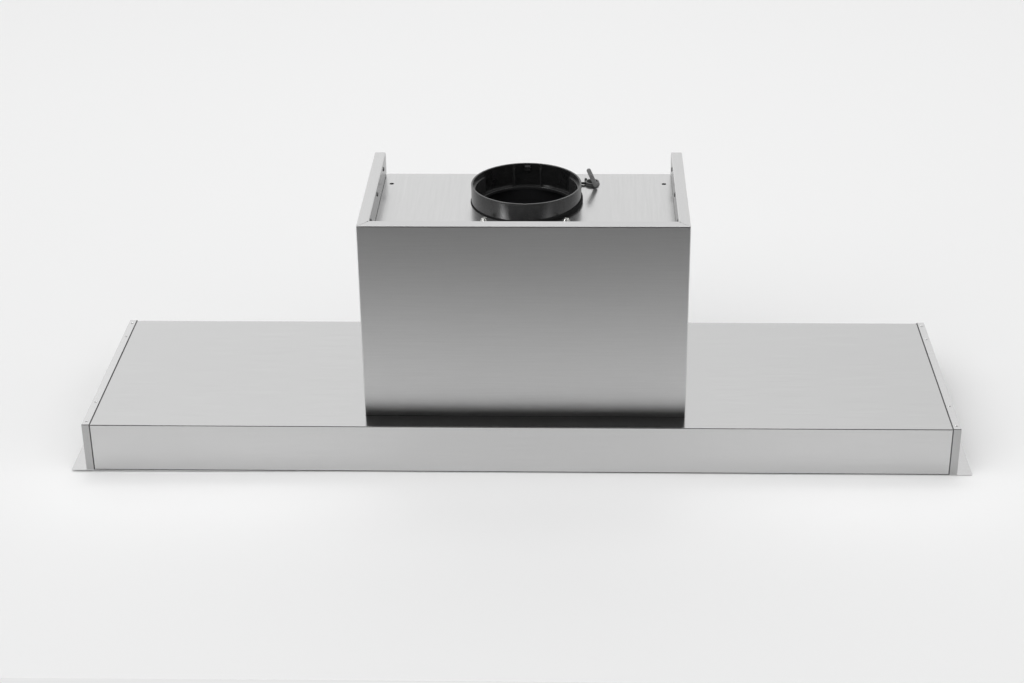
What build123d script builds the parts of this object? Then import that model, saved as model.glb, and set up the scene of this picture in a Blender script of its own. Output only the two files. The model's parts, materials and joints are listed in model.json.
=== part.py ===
"""Built-in range hood: a long shallow canopy with a motor tower on top, in millimetres.

The canopy is folded from steel sheet and closed by an end cap at each side. Its underside holds three
grease filters, two lamps and a row of push buttons. The tower holds a double-inlet blower that sends the
air up through a round duct collar.

Frame: +X to the right, +Y to the back, +Z up. The origin lies under the middle of the canopy, on the
plane that the trim flange rests on.
"""
from build123d import *
import math
import os

# Canopy and trim flange
overall_width = 1200.0
flange_lap = 20.0
body_depth = 318.0
body_height = 70.0
sheet = 1.0
bend = 1.5
strip = 10.0
hem = 8.0
trim_sheet = 1.2
trim_side_rim = 32.0
trim_rim = 21.0

# Tower above the canopy
tower_width = 426.0
tower_height = 273.0
tower_offset = 8.0
tower_setback = 32.0
tower_back_setback = 26.0
top_flange_side = 15.0
top_flange_front = 17.0
plate_drop = 32.0
lip_gap = 1.5
foot_hem = 12.0
upturn = 24.0

# Duct collar on the top plate
collar_radius = 74.2
collar_wall = 2.5
collar_rise = 25.7
collar_depth = 35.0
collar_flange = 16.8
collar_flange_sheet = 3.0
collar_back_gap = 6.0
collar_screw_gap = 11.9
collar_screw_angle = 51.1
ledge_width = 5.7
seal_width = 2.2
seal_height = 4.0

# Clearances, and how far a cutting shape runs past the faces that it cuts
slip = 0.3
running = 0.05
seal_slip = 0.1
swing_gap = 0.7
past = 1.0

# Screws and rivets
screw_radius = 2.0
pan_head_radius = 4.0
pan_head_height = 2.6
head_rounding = 0.7
rivet_radius = 1.6
rivet_head_radius = 2.6
rivet_head_height = 0.9
rivet_tail_height = 1.8
washer_radius = 5.2
washer_sheet = 0.8
csk_radius = 2.8
csk_neck = 1.6
csk_shank = 1.5
csk_length = 6.5

# Underside panel, filters, lamps and buttons
panel_recess = 16.0
filter_count = 3
filter_end_margin = 20.0
filter_divider = 12.0
filter_side_gap = 2.0
filter_front_gap = 1.5
filter_thickness = 9.0
filter_border = 10.0
pivot_height = 4.0
pivot_rise = 0.5
pivot_radius = 2.0
pivot_inset = 3.0
front_strip = 61.0
rear_strip = 12.0
lamp_spread = 340.0
lamp_radius = 26.0
button_count = 5
button_pitch = 22.0
button_radius = 7.0
button_travel = 2.0

# Blower
scroll_room = 76.0
scroll_neck = 26.2
scroll_step = 11.0
scroll_wall = 1.5
scroll_floor_gap = 10.0
wheel_gap = 17.0
wheel_end_gap = 8.0
blade_count = 36
blade_depth = 13.0
blade_sheet = 1.0
shaft_radius = 4.0

# Places that follow from the sizes above
body_half = overall_width / 2 - flange_lap
front_y = -body_depth / 2
back_y = body_depth / 2
shell_half = body_half - sheet - bend
shell_front = front_y + sheet
shell_back = back_y - sheet
shell_top = body_height - sheet
trim_x = body_half - trim_side_rim
trim_y = body_depth / 2 - trim_rim
top_z = body_height + tower_height
tower_left = tower_offset - tower_width / 2
tower_right = tower_offset + tower_width / 2
tower_front = front_y + tower_setback
tower_back = back_y - tower_back_setback
lip_x = tower_width / 2 - top_flange_side
plate_z = top_z - plate_drop
collar_flange_radius = collar_radius + collar_flange
duct_x = tower_offset
duct_y = tower_back - collar_flange_radius - collar_back_gap
rim_z = plate_z + collar_rise
collar_foot = rim_z - collar_depth
collar_bore = collar_radius - collar_wall
ledge_radius = collar_bore - ledge_width


# Shapes used all over: boxes, upright and lying cylinders, rings
def block(x, y, z):
    """A box between two limits along each of X, Y and Z."""
    middle = Pos((x[0] + x[1]) / 2, (y[0] + y[1]) / 2, (z[0] + z[1]) / 2)
    return middle * Box(x[1] - x[0], y[1] - y[0], z[1] - z[0])


def rod(radius, z, x=0.0, y=0.0):
    """An upright cylinder between two heights."""
    return Pos(x, y, (z[0] + z[1]) / 2) * Cylinder(radius, z[1] - z[0])


def rod_x(radius, x, y, z):
    """A cylinder along X between two places."""
    return Pos((x[0] + x[1]) / 2, y, z) * Rot(0, 90, 0) * Cylinder(radius, x[1] - x[0])


def rod_y(radius, x, y, z):
    """A cylinder along Y between two places."""
    return Pos(x, (y[0] + y[1]) / 2, z) * Rot(90, 0, 0) * Cylinder(radius, y[1] - y[0])


def ring(outer, inner, z, x=0.0, y=0.0):
    """An upright tube between two heights."""
    return rod(outer, z, x, y) - rod(inner, z, x, y)


def rounded_block(x, y, z, radius, keep):
    """A box whose edges that pass the test keep() are rounded."""
    box = block(x, y, z)
    return fillet([edge for edge in box.edges() if keep(edge.center())], radius)


def mirrored(solid):
    """The same piece on the other side of the canopy's middle plane."""
    return mirror(solid, about=Plane.YZ)


def group(solids):
    """Like pieces that share one node, as separate solids."""
    return Compound([solid for item in solids for solid in item.solids()])


# Canopy shell: one sheet folded into a channel that is open below and at both ends
rivet_corner = 10.5
rivet_front_second = 65.0
rivet_back_second = 53.0
cap_rivet_x = body_half - strip / 2
cap_rivet_ys = [front_y + rivet_corner, front_y + rivet_front_second,
                back_y - rivet_back_second, back_y - rivet_corner]
hem_inner = shell_back - hem
shell_hem_y = shell_back - hem / 2
air_hole_margin = 20.0
trim_screw_count = 4
trim_screw_pitch = 300.0
trim_screw_xs = [(i - (trim_screw_count - 1) / 2) * trim_screw_pitch for i in range(trim_screw_count)]
tower_screw_end = 60.0
tower_screw_spread = 240.0
tower_screw_inset = sheet + foot_hem / 2
tower_screw_ys = (tower_front + tower_screw_end, tower_back - tower_screw_end)
tower_screw_xs = (tower_offset - tower_screw_spread / 2, tower_offset + tower_screw_spread / 2)


def tower_screw_places():
    """The screws that hold the tower's foot hem down on the canopy."""
    sides = [(x, y) for x in (tower_left + tower_screw_inset, tower_right - tower_screw_inset)
             for y in tower_screw_ys]
    front = [(x, tower_front + tower_screw_inset) for x in tower_screw_xs]
    return sides + front


def canopy_shell():
    level = (trim_sheet, shell_top)
    wide = (-shell_half, shell_half)
    along_x = lambda at: abs(at.X) < sheet
    outer = rounded_block(wide, (shell_front, shell_back), level, bend, along_x)
    inside = rounded_block((-body_half, body_half), (shell_front + sheet, shell_back - sheet),
                           (level[0] + sheet, level[1] - sheet), bend - sheet, along_x)
    slot = block((-body_half, body_half), (-hem_inner, hem_inner), (level[0] - past, level[0] + sheet + past))
    through_top = (shell_top - sheet - past, shell_top + past)
    through_hem = (level[0] - past, level[0] + sheet + past)
    air_hole = block((tower_left + air_hole_margin, tower_right - air_hole_margin),
                     (tower_front + air_hole_margin, tower_back - air_hole_margin), through_top)
    shell = outer - inside - slot - air_hole
    for x in trim_screw_xs:
        for side in (-1, 1):
            shell -= rod(csk_neck, through_hem, x, side * shell_hem_y)
    for x, y in tower_screw_places():
        shell -= rod(screw_radius + running, through_top, x, y)
    for x in (-cap_rivet_x, cap_rivet_x):
        for y in cap_rivet_ys:
            shell -= rod(rivet_radius, through_top, x, y)
    return shell


# End caps: shallow folded trays that close the shell's ends and lap over it by a narrow strip
cap_hem = 12.0
cap_hem_clear = 24.0
cap_screw_inset = 9.0
cap_screw_end = 59.0
cap_screw_x = body_half - cap_screw_inset
cap_screw_ys = (front_y + cap_screw_end, 0.0, back_y - cap_screw_end)
side_fixing_radius = 2.5
side_fixing_spread = 200.0
side_fixing_z = body_height / 2


def end_cap():
    """The right-hand cap; the left one is its mirror image."""
    level = (trim_sheet, body_height)
    wall = body_half - sheet

    def outer_fold(at):
        return at.Z > level[0] + sheet and (at.X > wall or at.Z > level[1] - sheet and abs(at.Y) > back_y - sheet)

    def inner_fold(at):
        on_roof = at.Z > shell_top - sheet and abs(at.Y) > shell_back - sheet
        return at.Z > level[0] + sheet and (at.X > wall - sheet or on_roof)

    outer = rounded_block((body_half - strip, body_half), (front_y, back_y), level, bend, outer_fold)
    inside = rounded_block((body_half - 2 * strip, wall), (shell_front, shell_back),
                           (level[0] - past, shell_top), bend - sheet, inner_fold)
    cap = outer - inside
    hem_end = back_y - cap_hem_clear
    cap += block((body_half - cap_hem, wall), (-hem_end, hem_end), (level[0], level[0] + sheet))
    for y in cap_rivet_ys:
        cap -= rod(rivet_radius, (shell_top - past, body_height + past), cap_rivet_x, y)
    for y in cap_screw_ys:
        cap -= rod(csk_neck, (level[0] - past, level[0] + sheet + past), cap_screw_x, y)
    for side in (-1, 1):
        cap -= rod_x(side_fixing_radius, (wall - past, body_half + past),
                     side * side_fixing_spread / 2, side_fixing_z)
    return cap


def end_cap_rivets():
    """Blind rivets through the caps' top strips and the shell, each with its upset tail below."""
    under = shell_top - sheet
    rivets = []
    for x in (-cap_rivet_x, cap_rivet_x):
        for y in cap_rivet_ys:
            head = rod(rivet_head_radius, (body_height, body_height + rivet_head_height), x, y)
            head = fillet(head.edges().sort_by(Axis.Z)[-1], rivet_head_height * head_rounding)
            shank = rod(rivet_radius - running, (under, body_height), x, y)
            tail = rod(rivet_radius + seal_slip, (under - rivet_tail_height, under), x, y)
            rivets.append(head + shank + tail)
    return group(rivets)


# Trim flange: a flat frame under the canopy that laps over the cabinet's cut-out at both sides
panel_lap = 11.0
panel_lap_x = trim_x + panel_lap / 2
panel_lap_y = trim_y + panel_lap / 2
panel_screw_x = 320.0
panel_screw_y = 60.0


def trim_screw_places():
    """Countersunk screws up through the trim flange into the shell, the caps and the panel."""
    shell_screws = [(x, side * shell_hem_y) for x in trim_screw_xs for side in (-1, 1)]
    cap_screws = [(side * cap_screw_x, y) for y in cap_screw_ys for side in (-1, 1)]
    panel_screws = [(sx * panel_screw_x, sy * panel_lap_y) for sx in (-1, 1) for sy in (-1, 1)]
    panel_screws += [(sx * panel_lap_x, sy * panel_screw_y) for sx in (-1, 1) for sy in (-1, 1)]
    return shell_screws + cap_screws + panel_screws


def trim_flange():
    outline = RectangleRounded(overall_width, body_depth, bend)
    opening = RectangleRounded(2 * trim_x, 2 * trim_y, 2 * bend)
    frame = extrude(outline - opening, trim_sheet)
    for x, y in trim_screw_places():
        frame -= Pos(x, y, trim_sheet / 2) * Cone(csk_radius + running, csk_neck + running, trim_sheet)
    return frame


def trim_screws():
    screws = []
    for x, y in trim_screw_places():
        head = Pos(x, y, trim_sheet / 2) * Cone(csk_radius, csk_neck - running, trim_sheet - running)
        screws.append(head + rod(csk_shank, (trim_sheet / 2, csk_length), x, y))
    return group(screws)


# Underside panel: a recessed steel tray with cut-outs for the filters, the lamps and the buttons
panel_z = panel_recess
panel_top = panel_z + sheet
pivot_z = panel_z + pivot_height
pivot_low = filter_thickness / 2 + pivot_rise
filter_zone_back = trim_y - rear_strip
filter_zone_front = front_strip - trim_y
pivot_y = filter_zone_back - math.hypot(pivot_inset, pivot_low) - swing_gap
filter_back = pivot_y + pivot_inset
filter_front = filter_zone_front + filter_front_gap
filter_spacing = 2 * (trim_x - filter_end_margin) / filter_count
filter_width = filter_spacing - filter_divider
filter_xs = [(i - (filter_count - 1) / 2) * filter_spacing for i in range(filter_count)]
filter_low = pivot_z - pivot_low
filter_high = filter_low + filter_thickness
front_strip_y = front_strip / 2 - trim_y
lamp_hole = 22.5
lamp_xs = (-lamp_spread, lamp_spread)
bezel_length = 130.0
bezel_depth = 26.0
bezel_rim = 7.0
bezel_cut_length = bezel_length - 2 * bezel_rim
bezel_cut_depth = 18.0


def underside_panel():
    tray = block((-trim_x - sheet, trim_x + sheet), (-trim_y - sheet, trim_y + sheet), (trim_sheet, panel_top))
    tray -= block((-trim_x, trim_x), (-trim_y, trim_y), (trim_sheet - past, panel_z))
    lap = (trim_sheet, trim_sheet + sheet)
    half_x = trim_x + sheet / 2
    half_y = trim_y + sheet / 2
    lap_plate = block((-trim_x - panel_lap, trim_x + panel_lap), (-trim_y - panel_lap, trim_y + panel_lap), lap)
    tray += lap_plate - block((-half_x, half_x), (-half_y, half_y), lap)
    through = (panel_z - past, panel_top + past)
    half_hole = filter_width / 2 + filter_side_gap
    for x in filter_xs:
        tray -= block((x - half_hole, x + half_hole), (filter_zone_front, filter_zone_back), through)
    for x in lamp_xs:
        tray -= rod(lamp_hole, through, x, front_strip_y)
    tray -= block((-bezel_cut_length / 2, bezel_cut_length / 2),
                  (front_strip_y - bezel_cut_depth / 2, front_strip_y + bezel_cut_depth / 2), through)
    for x, y in trim_screw_places():
        tray -= rod(csk_neck, (trim_sheet - past, lap[1] + past), x, y)
    return tray


# Filter pivot brackets: small ears on the panel that carry the filters' rear pins
ear_sheet = 2.0
ear_depth = 12.0
ear_above_pin = 5.0
ear_top = pivot_z + ear_above_pin
pin_reach = 4.8


def filter_pivot_brackets():
    ears = []
    for x in filter_xs:
        for side in (-1, 1):
            near = x + side * (filter_width / 2 + filter_side_gap + slip)
            far = near + side * ear_sheet
            ear = block(sorted((near, far)), (pivot_y - ear_depth / 2, pivot_y + ear_depth / 2),
                        (panel_top, ear_top))
            ears.append(ear - rod_x(pivot_radius + running, (far - pin_reach, far + pin_reach), pivot_y, pivot_z))
    return group(ears)


# Grease filters: an aluminium channel frame round a perforated mesh, swung down about its rear pins
corner_round = 1.0
latch_seat_width = 44.0
latch_seat_depth = 30.0
mesh_sheet = 1.2
mesh_lap = 5.0
mesh_hole_x = 11.0
mesh_hole_y = 6.0
mesh_hole_round = 2.0
mesh_pitch_x = 18.0
mesh_pitch_y = 12.0
latch_nose_width = 20.0
latch_nose_height = 3.0
latch_travel = 4.0
latch_stem_width = 10.0
latch_stem_depth = 8.0
latch_bar_length = 14.0
latch_reach = 1.2
latch_nose_rise = 3.0
nose_low = filter_low + latch_nose_rise
latch_seat_back = filter_front + latch_seat_depth


def latch_slot(x):
    """The space that the latch bar and its stem slide in, in the filter's front seat."""
    half_bar = latch_nose_width / 2 + slip
    half_stem = latch_stem_width / 2 + slip
    slot_back = filter_front + latch_bar_length + latch_travel + slip
    bar = block((x - half_bar, x + half_bar), (filter_front - past, slot_back),
                (nose_low - slip, nose_low + latch_nose_height + slip))
    stem_front = filter_front + latch_bar_length - latch_stem_depth - slip
    stem = block((x - half_stem, x + half_stem), (stem_front, slot_back), (filter_low - past, nose_low + past))
    return bar + stem


def filter_frame(x):
    half = filter_width / 2
    inner = half - filter_border
    frame = rounded_block((x - half, x + half), (filter_front, filter_back), (filter_low, filter_high),
                          corner_round, lambda at: abs(at.Z - pivot_z) < filter_thickness / 3)
    window = block((x - inner, x + inner), (filter_front + filter_border, filter_back - filter_border),
                   (filter_low - past, filter_high + past))
    seat = block((x - latch_seat_width / 2, x + latch_seat_width / 2), (filter_front, latch_seat_back),
                 (filter_low, filter_high))
    groove = block((x - inner - mesh_lap, x + inner + mesh_lap),
                   (filter_front + filter_border - mesh_lap, filter_back - filter_border + mesh_lap),
                   (pivot_z - mesh_sheet / 2 - slip, pivot_z + mesh_sheet / 2 + slip))
    frame = frame - (window - seat) - (groove - seat) - latch_slot(x)
    for side in (-1, 1):
        reach = sorted((x + side * (half - past), x + side * (half + pin_reach)))
        frame += rod_x(pivot_radius, reach, pivot_y, pivot_z)
    return frame


def filter_mesh(x):
    half_x = filter_width / 2 - filter_border + mesh_lap - slip
    front = filter_front + filter_border - mesh_lap + slip
    back = filter_back - filter_border + mesh_lap - slip
    middle = (front + back) / 2
    columns = int((2 * half_x - 2 * mesh_lap) / mesh_pitch_x)
    rows = int((back - front - 2 * mesh_lap) / mesh_pitch_y)
    keep_out = block((-latch_seat_width / 2 - slip, latch_seat_width / 2 + slip),
                     (filter_front, latch_seat_back + slip), (-past, mesh_sheet + past))
    cells = [(ix, iy) for ix in range(columns) for iy in range(rows)]
    holes = []
    for ix, iy in cells:
        at_x = (ix - (columns - 1) / 2) * mesh_pitch_x
        at_y = middle + (iy - (rows - 1) / 2) * mesh_pitch_y
        near_seat = abs(at_x) < latch_seat_width / 2 + mesh_pitch_x / 2
        if not (near_seat and at_y < latch_seat_back + mesh_pitch_y):
            holes.append(Pos(at_x, at_y) * RectangleRounded(mesh_hole_x, mesh_hole_y, mesh_hole_round))
    face = Pos(0, middle) * Rectangle(2 * half_x, back - front) - holes
    plate = extrude(face, mesh_sheet) - keep_out
    return Pos(x, 0, pivot_z - mesh_sheet / 2) * plate


# Filter latches: a sprung slide with a finger ridge below the frame and a nose at its front edge
nose_bevel = 1.0
slide_length = 52.0
slide_front = 2.0
slide_depth = 20.0
slide_sheet = 2.2
slide_round = 3.0
ridge_inset = 4.0
ridge_front = 2.0
ridge_depth = 4.0
ridge_height = 5.0
ridge_round = 1.5


def filter_latch(x):
    bar = block((x - latch_nose_width / 2, x + latch_nose_width / 2),
                (filter_front - latch_reach, filter_front + latch_bar_length),
                (nose_low, nose_low + latch_nose_height))
    nose = bar.edges().filter_by(Axis.X).group_by(Axis.Y)[0].sort_by(Axis.Z)[0]
    bar = chamfer(nose, nose_bevel)
    slide_z = (filter_low - slip - slide_sheet, filter_low - slip)
    stem_y = (filter_front + latch_bar_length - latch_stem_depth, filter_front + latch_bar_length)
    stem = block((x - latch_stem_width / 2, x + latch_stem_width / 2), stem_y, (slide_z[0], nose_low))
    half = slide_length / 2
    slide_y = (filter_front + slide_front, filter_front + slide_front + slide_depth)
    slide = block((x - half, x + half), slide_y, slide_z)
    slide = fillet(slide.edges().filter_by(Axis.Z), slide_round)
    ridge_y = slide_y[0] + ridge_front
    ridge = block((x - half + ridge_inset, x + half - ridge_inset), (ridge_y, ridge_y + ridge_depth),
                  (slide_z[0] - ridge_height, slide_z[0] + past))
    ridge = fillet(ridge.edges().filter_by(Axis.X).group_by(Axis.Z)[0], ridge_round)
    return bar + stem + slide + ridge


# Lamps: a steel bezel and a frosted lens below the panel, with a finned housing above it
bezel_drop = 2.2
bezel_lip = 0.8
bezel_round = 1.4
lens_radius = 20.0
lens_sheet = 2.0
lens_round = 0.5
lamp_throat = 18.5
lamp_cavity = 6.0
housing_height = 19.0
housing_radius = 25.0
fin_count = 7
fin_height = 9.0


def lamp_bezel(x):
    low = panel_z - bezel_drop
    shell = rod(lamp_radius, (low, panel_z), x, front_strip_y)
    shell = fillet(shell.edges().sort_by(Axis.Z)[0], bezel_round)
    shell += rod(lamp_hole - slip, (panel_z, panel_top), x, front_strip_y)
    shell -= rod(lens_radius + slip, (low + bezel_lip, panel_top + past), x, front_strip_y)
    return shell - rod(lamp_throat, (low - past, panel_top), x, front_strip_y)


def lamp_lens(x):
    low = panel_z - bezel_drop + bezel_lip
    lens = rod(lens_radius, (low, low + lens_sheet), x, front_strip_y)
    return fillet(lens.edges().sort_by(Axis.Z)[0], lens_round)


def lamp_housing(x):
    top = panel_top + housing_height
    body = rod(housing_radius, (panel_top, top), x, front_strip_y)
    body -= rod(lens_radius, (panel_top - past, panel_top + lamp_cavity), x, front_strip_y)
    fin_pitch = 2 * housing_radius / fin_count
    for i in range(fin_count):
        at = x + (i - (fin_count - 1) / 2) * fin_pitch
        body -= block((at - fin_pitch / 4, at + fin_pitch / 4), (-body_depth, body_depth),
                      (top - fin_height, top + past))
    return body


# Push buttons: five plungers in a plastic bezel, pressed up against the switch module
bezel_sheet = 2.0
bezel_corner = 4.0
bezel_edge = 0.5
button_proud = 3.0
button_low = panel_z - bezel_sheet - button_proud
button_edge = 1.0
button_collar = 1.0
button_collar_sheet = 1.5
button_collar_low = panel_top + sheet + slip
stem_radius = 2.5
stem_reach = 10.0
stem_top = panel_top + stem_reach
module_height = 17.0
module_pocket = 6.5
module_rim_x = 4.0
module_rim_y = 3.0
button_names = ["button_light", "button_stop", "button_low", "button_medium", "button_high"]
button_xs = [(i - (button_count - 1) / 2) * button_pitch for i in range(button_count)]


def control_bezel():
    low = panel_z - bezel_sheet
    half = bezel_length / 2
    plate = block((-half, half), (front_strip_y - bezel_depth / 2, front_strip_y + bezel_depth / 2),
                  (low, panel_z))
    plate = fillet(plate.edges().filter_by(Axis.Z), bezel_corner)
    plate = fillet(plate.edges().group_by(Axis.Z)[0], bezel_edge)
    cut_x = bezel_cut_length / 2 - slip
    cut_y = bezel_cut_depth / 2 - slip
    plate += block((-cut_x, cut_x), (front_strip_y - cut_y, front_strip_y + cut_y), (panel_z, panel_top + sheet))
    for x in button_xs:
        plate -= rod(button_radius + slip, (low - past, panel_top + sheet + past), x, front_strip_y)
    return plate


def push_button(x):
    cap = rod(button_radius, (button_low, button_collar_low), x, front_strip_y)
    cap = fillet(cap.edges().sort_by(Axis.Z)[0], button_edge)
    collar_z = (button_collar_low, button_collar_low + button_collar_sheet)
    collar = rod(button_radius + button_collar, collar_z, x, front_strip_y)
    return cap + collar + rod(stem_radius, (button_collar_low, stem_top), x, front_strip_y)


def switch_module():
    half = bezel_cut_length / 2 + module_rim_x
    deep = bezel_cut_depth / 2 + module_rim_y
    body = block((-half, half), (front_strip_y - deep, front_strip_y + deep), (panel_top, panel_top + module_height))
    pocket_x = bezel_cut_length / 2 + slip
    pocket_y = bezel_cut_depth / 2 + slip
    body -= block((-pocket_x, pocket_x), (front_strip_y - pocket_y, front_strip_y + pocket_y),
                  (panel_top - past, panel_top + module_pocket))
    for x in button_xs:
        body -= rod(stem_radius + slip, (panel_top, stem_top + button_travel + slip), x, front_strip_y)
    return body


# Lamp driver: a sealed plastic box on top of the underside panel
driver_gap = 60.0
driver_length = 110.0
driver_depth = 36.0
driver_height = 22.0
driver_corner = 3.0


def led_driver():
    end = lamp_spread - driver_gap
    box = block((end - driver_length, end), (front_strip_y - driver_depth / 2, front_strip_y + driver_depth / 2),
                (panel_top, panel_top + driver_height))
    return fillet(box.edges().filter_by(Axis.Z), driver_corner)


# Tower cover: front, sides, top flanges and hanging lips folded from one sheet, open at the back
mitre_gap = 0.4
lip_notch = 2.0
lip_screw_drop = 10.0
lip_screw_front = 41.0
lip_screw_back = 38.0
lip_screw_z = top_z - lip_screw_drop
lip_screw_ends = (tower_front + lip_screw_front, tower_back - lip_screw_back)
lip_screw_ys = (lip_screw_ends[0], sum(lip_screw_ends) / 2, lip_screw_ends[1])
sheet_screw_length = 4.0


def lip_screw_holes(radius):
    """Holes through both lips and the plate's upturned edges."""
    holes = []
    for side in (-1, 1):
        near = tower_offset + side * (lip_x - past)
        far = tower_offset + side * (lip_x + 2 * sheet + past)
        holes += [rod_x(radius, sorted((near, far)), y, lip_screw_z) for y in lip_screw_ys]
    return holes


def tower_cover():
    wide = (tower_left, tower_right)
    level = (shell_top, top_z)
    on_fold = lambda at: at.Y < tower_back - sheet
    outer = rounded_block(wide, (tower_front, tower_back), level, bend, on_fold)
    inside = rounded_block((wide[0] + sheet, wide[1] - sheet), (tower_front + sheet, tower_back + past),
                           (level[0] + sheet, level[1] - sheet), bend - sheet, on_fold)
    front_edge = tower_front + top_flange_front
    top_window = block((tower_offset - lip_x, tower_offset + lip_x), (front_edge, tower_back + past),
                       (top_z - sheet - past, top_z + past))
    through_foot = (shell_top - past, shell_top + sheet + past)
    foot_x = tower_width / 2 - sheet - foot_hem
    foot_window = block((tower_offset - foot_x, tower_offset + foot_x),
                        (tower_front + sheet + foot_hem, tower_back + past), through_foot)
    cover = outer - inside - top_window - foot_window
    for side in (-1, 1):
        lip = sorted((tower_offset + side * lip_x, tower_offset + side * (lip_x + sheet)))
        cover += block(lip, (front_edge + lip_notch, tower_back), (plate_z + lip_gap, top_z - sheet / 2))
        corner = (tower_offset + side * tower_width / 2, tower_front)
        inner = (tower_offset + side * lip_x, front_edge)
        cover -= mitre_slit(corner, inner)
    for hole in lip_screw_holes(screw_radius + running):
        cover -= hole
    for x, y in tower_screw_places():
        cover -= rod(screw_radius + running, through_foot, x, y)
    return cover


def mitre_slit(corner, inner):
    """A thin cut through the top flange from its outer corner to its inner one."""
    run = (inner[0] - corner[0], inner[1] - corner[1])
    length = math.hypot(*run) - 2 * bend + mitre_gap
    turn = math.degrees(math.atan2(run[1], run[0]))
    slit = block((2 * bend, 2 * bend + length), (-mitre_gap / 2, mitre_gap / 2), (top_z - sheet - past, top_z + past))
    return Pos(corner[0], corner[1], 0) * Rot(0, 0, turn) * slit


def pan_screw(length):
    """A pan-head screw that points down from the origin, its head above it."""
    head = rod(pan_head_radius, (0, pan_head_height))
    head = fillet(head.edges().sort_by(Axis.Z)[-1], pan_head_height * head_rounding)
    recess = rod(screw_radius / 2, (pan_head_height / 2, pan_head_height + past))
    return head + rod(screw_radius, (-length, 0)) - recess


def lip_screws():
    screws = []
    for side in (-1, 1):
        face = tower_offset + side * lip_x
        for y in lip_screw_ys:
            screws.append(Pos(face, y, lip_screw_z) * Rot(0, -90 * side, 0) * pan_screw(sheet_screw_length))
    return group(screws)


def tower_screws():
    under = shell_top - sheet
    return group([Pos(x, y, under) * Rot(180, 0, 0) * pan_screw(sheet_screw_length)
                  for x, y in tower_screw_places()])


# Top plate: the motor box's lid, with upturned sides behind the lips and the hole for the collar
hang_hole_radius = 3.2
hang_hole_inset = 10.5
hang_hole_x = lip_x - hang_hole_inset
hang_hole_back = 37.0
hang_hole_y = tower_back - hang_hole_back
plate_front = tower_front + sheet + slip
front_turn = 20.0
gland_angle = 34.0
gland_gap = 16.3
gland_reach = collar_flange_radius + gland_gap
gland_x = duct_x + gland_reach * math.cos(math.radians(gland_angle))
gland_y = duct_y + gland_reach * math.sin(math.radians(gland_angle))
gland_bore = 7.5
gland_barrel = 8.6
collar_screw_radius = collar_radius + collar_screw_gap


def collar_screw_places():
    x = collar_screw_radius * math.cos(math.radians(collar_screw_angle))
    y = collar_screw_radius * math.sin(math.radians(collar_screw_angle))
    return [(duct_x + sx * x, duct_y + sy * y) for sx in (-1, 1) for sy in (-1, 1)]


def top_plate():
    edge = lip_x + 2 * sheet
    wide = (tower_offset - edge, tower_offset + edge)
    plate = block(wide, (plate_front, tower_back), (plate_z - sheet, plate_z))
    plate += block(wide, (plate_front, plate_front + sheet), (plate_z - front_turn, plate_z))
    plate += block(wide, (tower_back - sheet, tower_back), (plate_z - front_turn, plate_z))
    for side in (-1, 1):
        turned = sorted((tower_offset + side * (edge - sheet), tower_offset + side * edge))
        plate += block(turned, (tower_front + top_flange_front, tower_back), (plate_z - sheet, plate_z + upturn))
    through = (plate_z - sheet - past, plate_z + past)
    plate -= rod(collar_radius + slip, through, duct_x, duct_y)
    plate -= rod(gland_barrel + slip, through, gland_x, gland_y)
    for x, y in collar_screw_places():
        plate -= rod(screw_radius + running, through, x, y)
    for side in (-1, 1):
        plate -= rod(hang_hole_radius, through, tower_offset + side * hang_hole_x, hang_hole_y)
    for hole in lip_screw_holes(screw_radius + running):
        plate -= hole
    return plate


# Back panel: closes the tower behind the blower and takes the wall screws
wall_hole_radius = 4.0
wall_hole_spread = 300.0
wall_hole_drop = 45.0
wall_hole_z = plate_z - wall_hole_drop
back_return = 14.0


def back_panel():
    half = tower_width / 2 - sheet
    wide = (tower_offset - half, tower_offset + half)
    level = (shell_top + sheet + bend, plate_z - sheet)
    face = (tower_back - 2 * sheet, tower_back - sheet)
    panel = block(wide, face, level)
    for side in (-1, 1):
        side_fold = sorted((tower_offset + side * half, tower_offset + side * (half - sheet)))
        panel += block(side_fold, (face[0] - back_return, face[1]), level)
    panel += block(wide, (face[0] - back_return, face[1]), (level[0], level[0] + sheet))
    for side in (-1, 1):
        x = tower_offset + side * wall_hole_spread / 2
        panel -= rod_y(wall_hole_radius, x, (face[0] - past, face[1] + past), wall_hole_z)
    return panel


# Duct collar: a moulded spigot held from below the plate, with sockets for a non-return flap
rim_round = 0.8
pad_angle = 35.0
pad_depth = 2.6
pad_below_rim = 8.0
rib_angle = 15.0
rib_width = 2.2
rib_below_rim = 6.8
ledge_below_rim = 32.0
socket_width = 8.0
socket_below_rim = 2.6
socket_height = 7.0
socket_depth = 4.0
socket_hole = 1.0
socket_hole_drop = 4.3
boss_radius = 7.0
# The duct slides over the wall above this neck
shoulder_step = 1.0
shoulder_gap = 0.5
collar_neck = collar_radius - shoulder_step


def on_collar(angle, solid):
    """Turns a piece made at the collar's +X side to an angle about the collar's axis."""
    return Pos(duct_x, duct_y, 0) * Rot(0, 0, angle) * solid


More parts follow.
